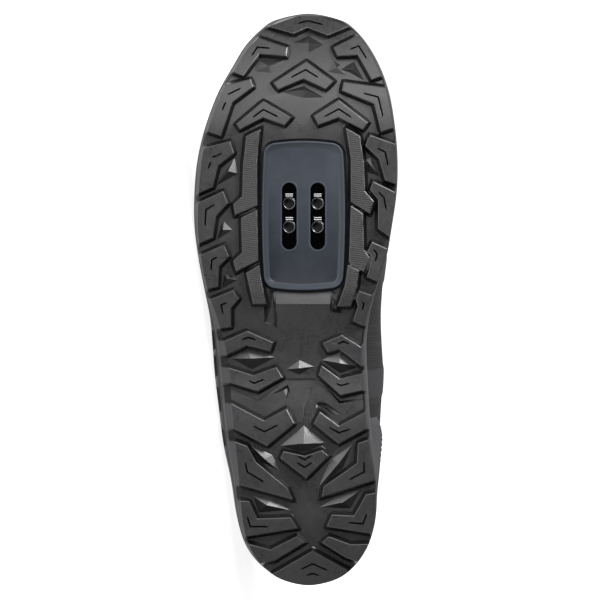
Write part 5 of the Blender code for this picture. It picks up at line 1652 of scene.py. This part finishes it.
class Stitches:
    """Collects rows of short thread stitches that lie on a surface."""

    def __init__(self):
        self.body = Body()

    def row(self, line, normals):
        """Stitches at even steps along a line of points with its normals."""
        travelled, wanted = 0.0, stitch_gap / 2
        for a, b, out in zip(line, line[1:], normals):
            span = (b - a).length
            while span > 0.0 and travelled + span >= wanted:
                self.stitch(a.lerp(b, (wanted - travelled) / span), (b - a).normalized(), out)
                wanted += stitch_gap
            travelled += span

    def stitch(self, middle, along, out):
        length, radius = stitch_length, stitch_radius
        across = along.cross(out).normalized()
        tips = [self.body.vert(middle + along * length * end / 2 - out * radius * 0.5)
                for end in (-1, 1)]
        rings = []
        for end in (-1, 1):
            spot = middle + along * length * 0.27 * end
            rings.append(self.body.ring([spot + across * radius, spot + out * radius,
                                         spot - across * radius, spot - out * radius]))
        for i in range(4):
            j = (i + 1) % 4
            self.body.face((tips[0], rings[0][i], rings[0][j]))
            self.body.face((tips[1], rings[1][j], rings[1][i]))
        self.body.strip(rings[0], rings[1])

    def on_upper(self, low, high, height, out):
        """A row on both sides of the upper; height gives how far up it runs at each place."""
        for side in (-1, 1):
            places = spread(low, high, seam_spacing)
            line = [skin_point(side, around, height(around), out) for around in places]
            self.row(line, [upper_normal(side, around, height(around)) for around in places])

    def finish(self):
        paint = Paint("sewing_thread")
        twist = paint.node("TexWave", {"bands_direction": "DIAGONAL"}, Scale=900.0,
                           Vector=paint.object_place()).outputs["Fac"]
        paint.surface(Base_Color=paint.mix(twist, grey(0.05), grey(0.10)), Roughness=0.6,
                      Normal=paint.bump(twist, 0.00005, 0.6))
        thing = self.body.finish("seam_stitches", [paint.material], 60.0)


def make_stitches(stitches):
    """Thread along the throat, the collar and the edges of the two overlays."""
    film = overlay_gap + overlay_thickness
    stitches.on_upper(THROAT_AROUND + 0.02, CORNER_AROUND,
                      lambda x: 1.0 - eyestay_width + seam_inset, seam_rise)
    stitches.on_upper(THROAT_AROUND + 0.02, CORNER_AROUND, lambda x: 0.955, seam_rise)
    stitches.on_upper(CORNER_AROUND, 1.0, lambda x: 0.945, seam_rise)
    stitches.on_upper(COUNTER_TOP[0][0] + 0.012, 1.0,
                      lambda x: table_value(COUNTER_TOP, 1, x) - seam_inset, film)
    stitches.on_upper(0.0, TOE_CAP_TOP[-1][0] - 0.008,
                      lambda x: table_value(TOE_CAP_TOP, 1, x) - seam_inset, film)
    stitches.finish()


def make_insole():
    """Footbed inside the upper's foot line."""
    body = Body()
    inset = feather_inset + upper_wall + insole_gap
    outline = sole_loop(1.0, 5)
    base = 2 * clearance
    rings = []
    for shrink, up in ((0.0, 0.0), (-0.0002, 0.6), (0.0004, 0.9), (0.0014, 1.0)):
        ring = grown(outline, -inset - max(shrink, 0.0))
        rings.append(body.ring([Vector((p.x, p.y, sole_top(p.x) + base + insole_thickness * up))
                                for p in ring]))
    for low, high in zip(rings, rings[1:]):
        body.strip(low, high)
    body.cap([rings[0]], lambda x: sole_top(x) + base, lid_spacing)
    body.cap([rings[-1]], lambda x: sole_top(x) + base + insole_thickness, lid_spacing)
    thing = body.finish("insole_footbed", [fabric_paint("footbed_knit", 0.05, 0.09, 0.0009, 0.95)])
    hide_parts("insole")


def tongue_line(around, out):
    """One line across the tongue, under the edges of the throat."""
    near_throat = smoothstep((around - THROAT_AROUND) / 0.05)
    reach = 0.93 + 0.07 * near_throat
    start = 0.80
    left = [skin_point(-1, around, start + (reach - start) * i / 6, out) for i in range(7)]
    right = [skin_point(1, around, start + (reach - start) * i / 6, out) for i in range(7)]
    edges = [skin_point(side, around, reach, -upper_wall) for side in (-1, 1)]
    middle = []
    for index in range(1, 15):
        share = index / 15
        spot = edges[0].lerp(edges[1], share)
        spot.z += tongue_crown * 4 * share * (1 - share) + (out + upper_wall * near_throat)
        middle.append(spot)
    return left + middle + right[::-1]


def make_tongue():
    """Padded tongue under the throat, with sewn channels, from the vamp to above the corners."""
    body = Body()
    places = spread(THROAT_AROUND - 0.05, CORNER_AROUND, column_spacing)
    tops, lows = [], []
    for around in places:
        hidden = upper_wall + tongue_gap + max(0.0, wall_at(around, 1.0) - upper_wall)
        tops.append(tongue_line(around, -hidden))
        lows.append(tongue_line(around, -hidden - tongue_thickness))
    ahead = [(a - b).normalized() for a, b in zip(tops[-1], tops[-4])]
    lift = ahead[len(ahead) // 2] * tongue_rise
    end_top, end_low = tops[-1], lows[-1]
    for index in range(1, 9):
        share = index / 8
        tuck = 0.0 if index < 7 else 0.3 * (index - 6)
        top = [p + lift * share for p in end_top]
        low = [p + lift * share for p in end_low]
        tops.append([a.lerp(b, tuck / 1.4) for a, b in zip(top, low)])
        lows.append([b.lerp(a, tuck / 1.4) for a, b in zip(top, low)])
    for index, line in enumerate(tops):
        in_channel = index % tongue_channel_rows == tongue_channel_rows // 2
        if in_channel and index < len(tops) - 2:
            middle = len(line) // 2
            for i, point in enumerate(line):
                inward = (lows[index][i] - point).normalized()
                line[i] = point + inward * tongue_channel_depth * smoothstep((9 - abs(i - middle)) / 3)
    rings = [body.ring(t + l[::-1]) for t, l in zip(tops, lows)]
    for a, b in zip(rings, rings[1:]):
        body.strip(a, b)
    body.end(rings[0])
    body.end(rings[-1])
    thing = body.finish("tongue_pad", [fabric_paint("tongue_mesh", 0.026, 0.052, 0.0013, 0.9)], 60.0)
    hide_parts("tongue")


def make_strap(name, around, lateral_reach, medial_reach, stitches):
    """One strap over the throat, lying on the upper's sides and over the tongue."""
    body = Body()
    half_width = strap_width / 2 / ARCS[-1][-1][0] * 0.92
    across = 16
    lines = []
    for step in range(across + 1):
        edge = abs(2 * step / across - 1.0)
        spot_around = around + half_width * (2 * step / across - 1.0)
        rows = []
        thick = strap_thickness * (0.55 + 0.45 * smoothstep((1.0 - edge) / 0.12))
        thick -= 0.0003 * smoothstep(1.0 - abs(edge - 0.80) / 0.06)
        for out in (overlay_gap, overlay_gap + thick):
            left = [skin_point(-1, spot_around, lateral_reach + (1.0 - lateral_reach) * i / 24, out)
                    for i in range(25)]
            right = [skin_point(1, spot_around, medial_reach + (1.0 - medial_reach) * i / 18, out)
                     for i in range(19)]
            middle = []
            for index in range(1, 12):
                share = index / 12
                spot = left[-1].lerp(right[-1], share)
                spot.z += strap_crown * 4 * share * (1 - share)
                middle.append(spot)
            rows.append(left + middle + right[::-1])
        lines.append(rows[1] + rows[0][::-1])
    rings = []
    for step, line in enumerate(lines):
        ring = body.ring(line, rise=step / across * strap_width)
        run, count = 0.0, len(line) // 2
        for i, vert in enumerate(ring):
            run += (line[i] - line[i - 1]).length * (1 if i < count else -1) if i not in (0, count) else 0.0
            vert[body.layers["run"]] = run
        rings.append(ring)
    for step in (2, across - 2):
        line = lines[step][:len(lines[step]) // 2]
        ahead, behind = lines[step + 1], lines[step - 1]
        normals = [(b - a).cross(ahead[i] - behind[i]).normalized()
                   for i, (a, b) in enumerate(zip(line, line[1:]))]
        flip = -1.0 if normals[0].dot(upper_normal(-1, around, lateral_reach)) < 0.0 else 1.0
        stitches.row(line, [normal * flip for normal in normals])
    for a, b in zip(rings, rings[1:]):
        body.strip(a, b)
    body.end(rings[0])
    body.end(rings[-1])
    paint = fabric_paint(name + "_weave", 0.022, 0.050, 0.0010, 0.8, True)
    thing = body.finish(name + "_webbing", [paint], 50.0)
    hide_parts(name)


def make_stage():
    """A large pale floor."""
    body = bmesh.new()
    bmesh.ops.create_grid(body, x_segments=8, y_segments=8, size=floor_size)
    data = bpy.data.meshes.new("floor")
    body.to_mesh(data)
    body.free()
    floor = bpy.data.objects.new("floor", data)
    floor.location.z = -floor_drop
    bpy.context.scene.collection.objects.link(floor)
    paint = Paint("floor_paper")
    tone = paint.noise(8.0, 3.0, 0.5, paint.object_place())
    colour = paint.mix(paint.ramp(tone, 0.3, 0.7), (0.90, 0.90, 0.90, 1), (0.93, 0.93, 0.93, 1))
    paint.surface(Base_Color=colour, Roughness=0.9, Specular_IOR_Level=0.1,
                  Emission_Color=(1.0, 1.0, 1.0, 1.0), Emission_Strength=floor_glow)
    data.materials.append(paint.material)


def shoe_way(toe, medial, out):
    """A direction given in the shoe's axes, seen from below, in the row frame."""
    return (SHOE.to_3x3() @ Vector((toe, medial, -out))).normalized()


def make_light(name, direction, distance, size, power):
    """A square soft light that shines at the middle of the shoe."""
    data = bpy.data.lights.new(name, "AREA")
    data.shape, data.size, data.energy = "SQUARE", size, power
    light = bpy.data.objects.new(name, data)
    middle = (cad_box[0] + cad_box[1]) / 2
    light.location = middle + direction * distance
    light.rotation_mode = "QUATERNION"
    light.rotation_quaternion = direction.to_track_quat("Z", "Y")
    bpy.context.scene.collection.objects.link(light)


def make_lights():
    """A key from the toe's medial side, a broad light from behind and a pale surround."""
    for name, toe, medial, out, distance, size, power in LIGHTS:
        make_light(name, shoe_way(toe, medial, out), distance, size, power)
    data = bpy.data.lights.new("backlight", "SUN")
    data.energy, data.angle = backlight_power, math.radians(backlight_spread)
    light = bpy.data.objects.new("backlight", data)
    light.rotation_mode = "QUATERNION"
    light.rotation_quaternion = Vector(backlight_from).to_track_quat("Z", "Y")
    bpy.context.scene.collection.objects.link(light)
    world = bpy.data.worlds.new("pale_surround")
    world.use_nodes = True
    world.node_tree.nodes["Background"].inputs["Color"].default_value = (1.0, 1.0, 1.0, 1.0)
    world.node_tree.nodes["Background"].inputs["Strength"].default_value = surround_strength
    bpy.context.scene.world = world
    bpy.context.scene.view_settings.view_transform = "Standard"


def make_camera():
    """Looks straight at the sole, rolled so that the toe is up as in the photo."""
    data = bpy.data.cameras.new("photo_camera")
    data.sensor_width = 36.0
    data.lens = data.sensor_width * camera_distance / frame_width
    camera = bpy.data.objects.new("photo_camera", data)
    middle = SHOE @ Vector((*frame_middle, 0.0))
    back = shoe_way(0.0, 0.0, 1.0)
    up = shoe_way(1.0, 0.0, 0.0)
    turn = Matrix((up.cross(back), up, back)).transposed().to_4x4()
    camera.matrix_world = Matrix.Translation(middle + back * camera_distance) @ turn
    bpy.context.scene.collection.objects.link(camera)
    bpy.context.scene.camera = camera


make_stage()
make_lights()
make_camera()
make_outsole()
make_midsole()
make_cleat_plate()
make_cleat_nuts()
make_upper()
film = film_paint("moulded_film", 0.040, 0.058, 0.42)
make_overlay("toe_cap_film", "toe_cap", TOE_CAP_TOP, 14, film)
make_overlay("heel_counter_film", "heel_counter", COUNTER_TOP, 22, film)
make_insole()
make_tongue()
thread = Stitches()
for strap, (around, lateral_reach, medial_reach) in STRAPS.items():
    make_strap(strap, around, lateral_reach, medial_reach, thread)
make_stitches(thread)
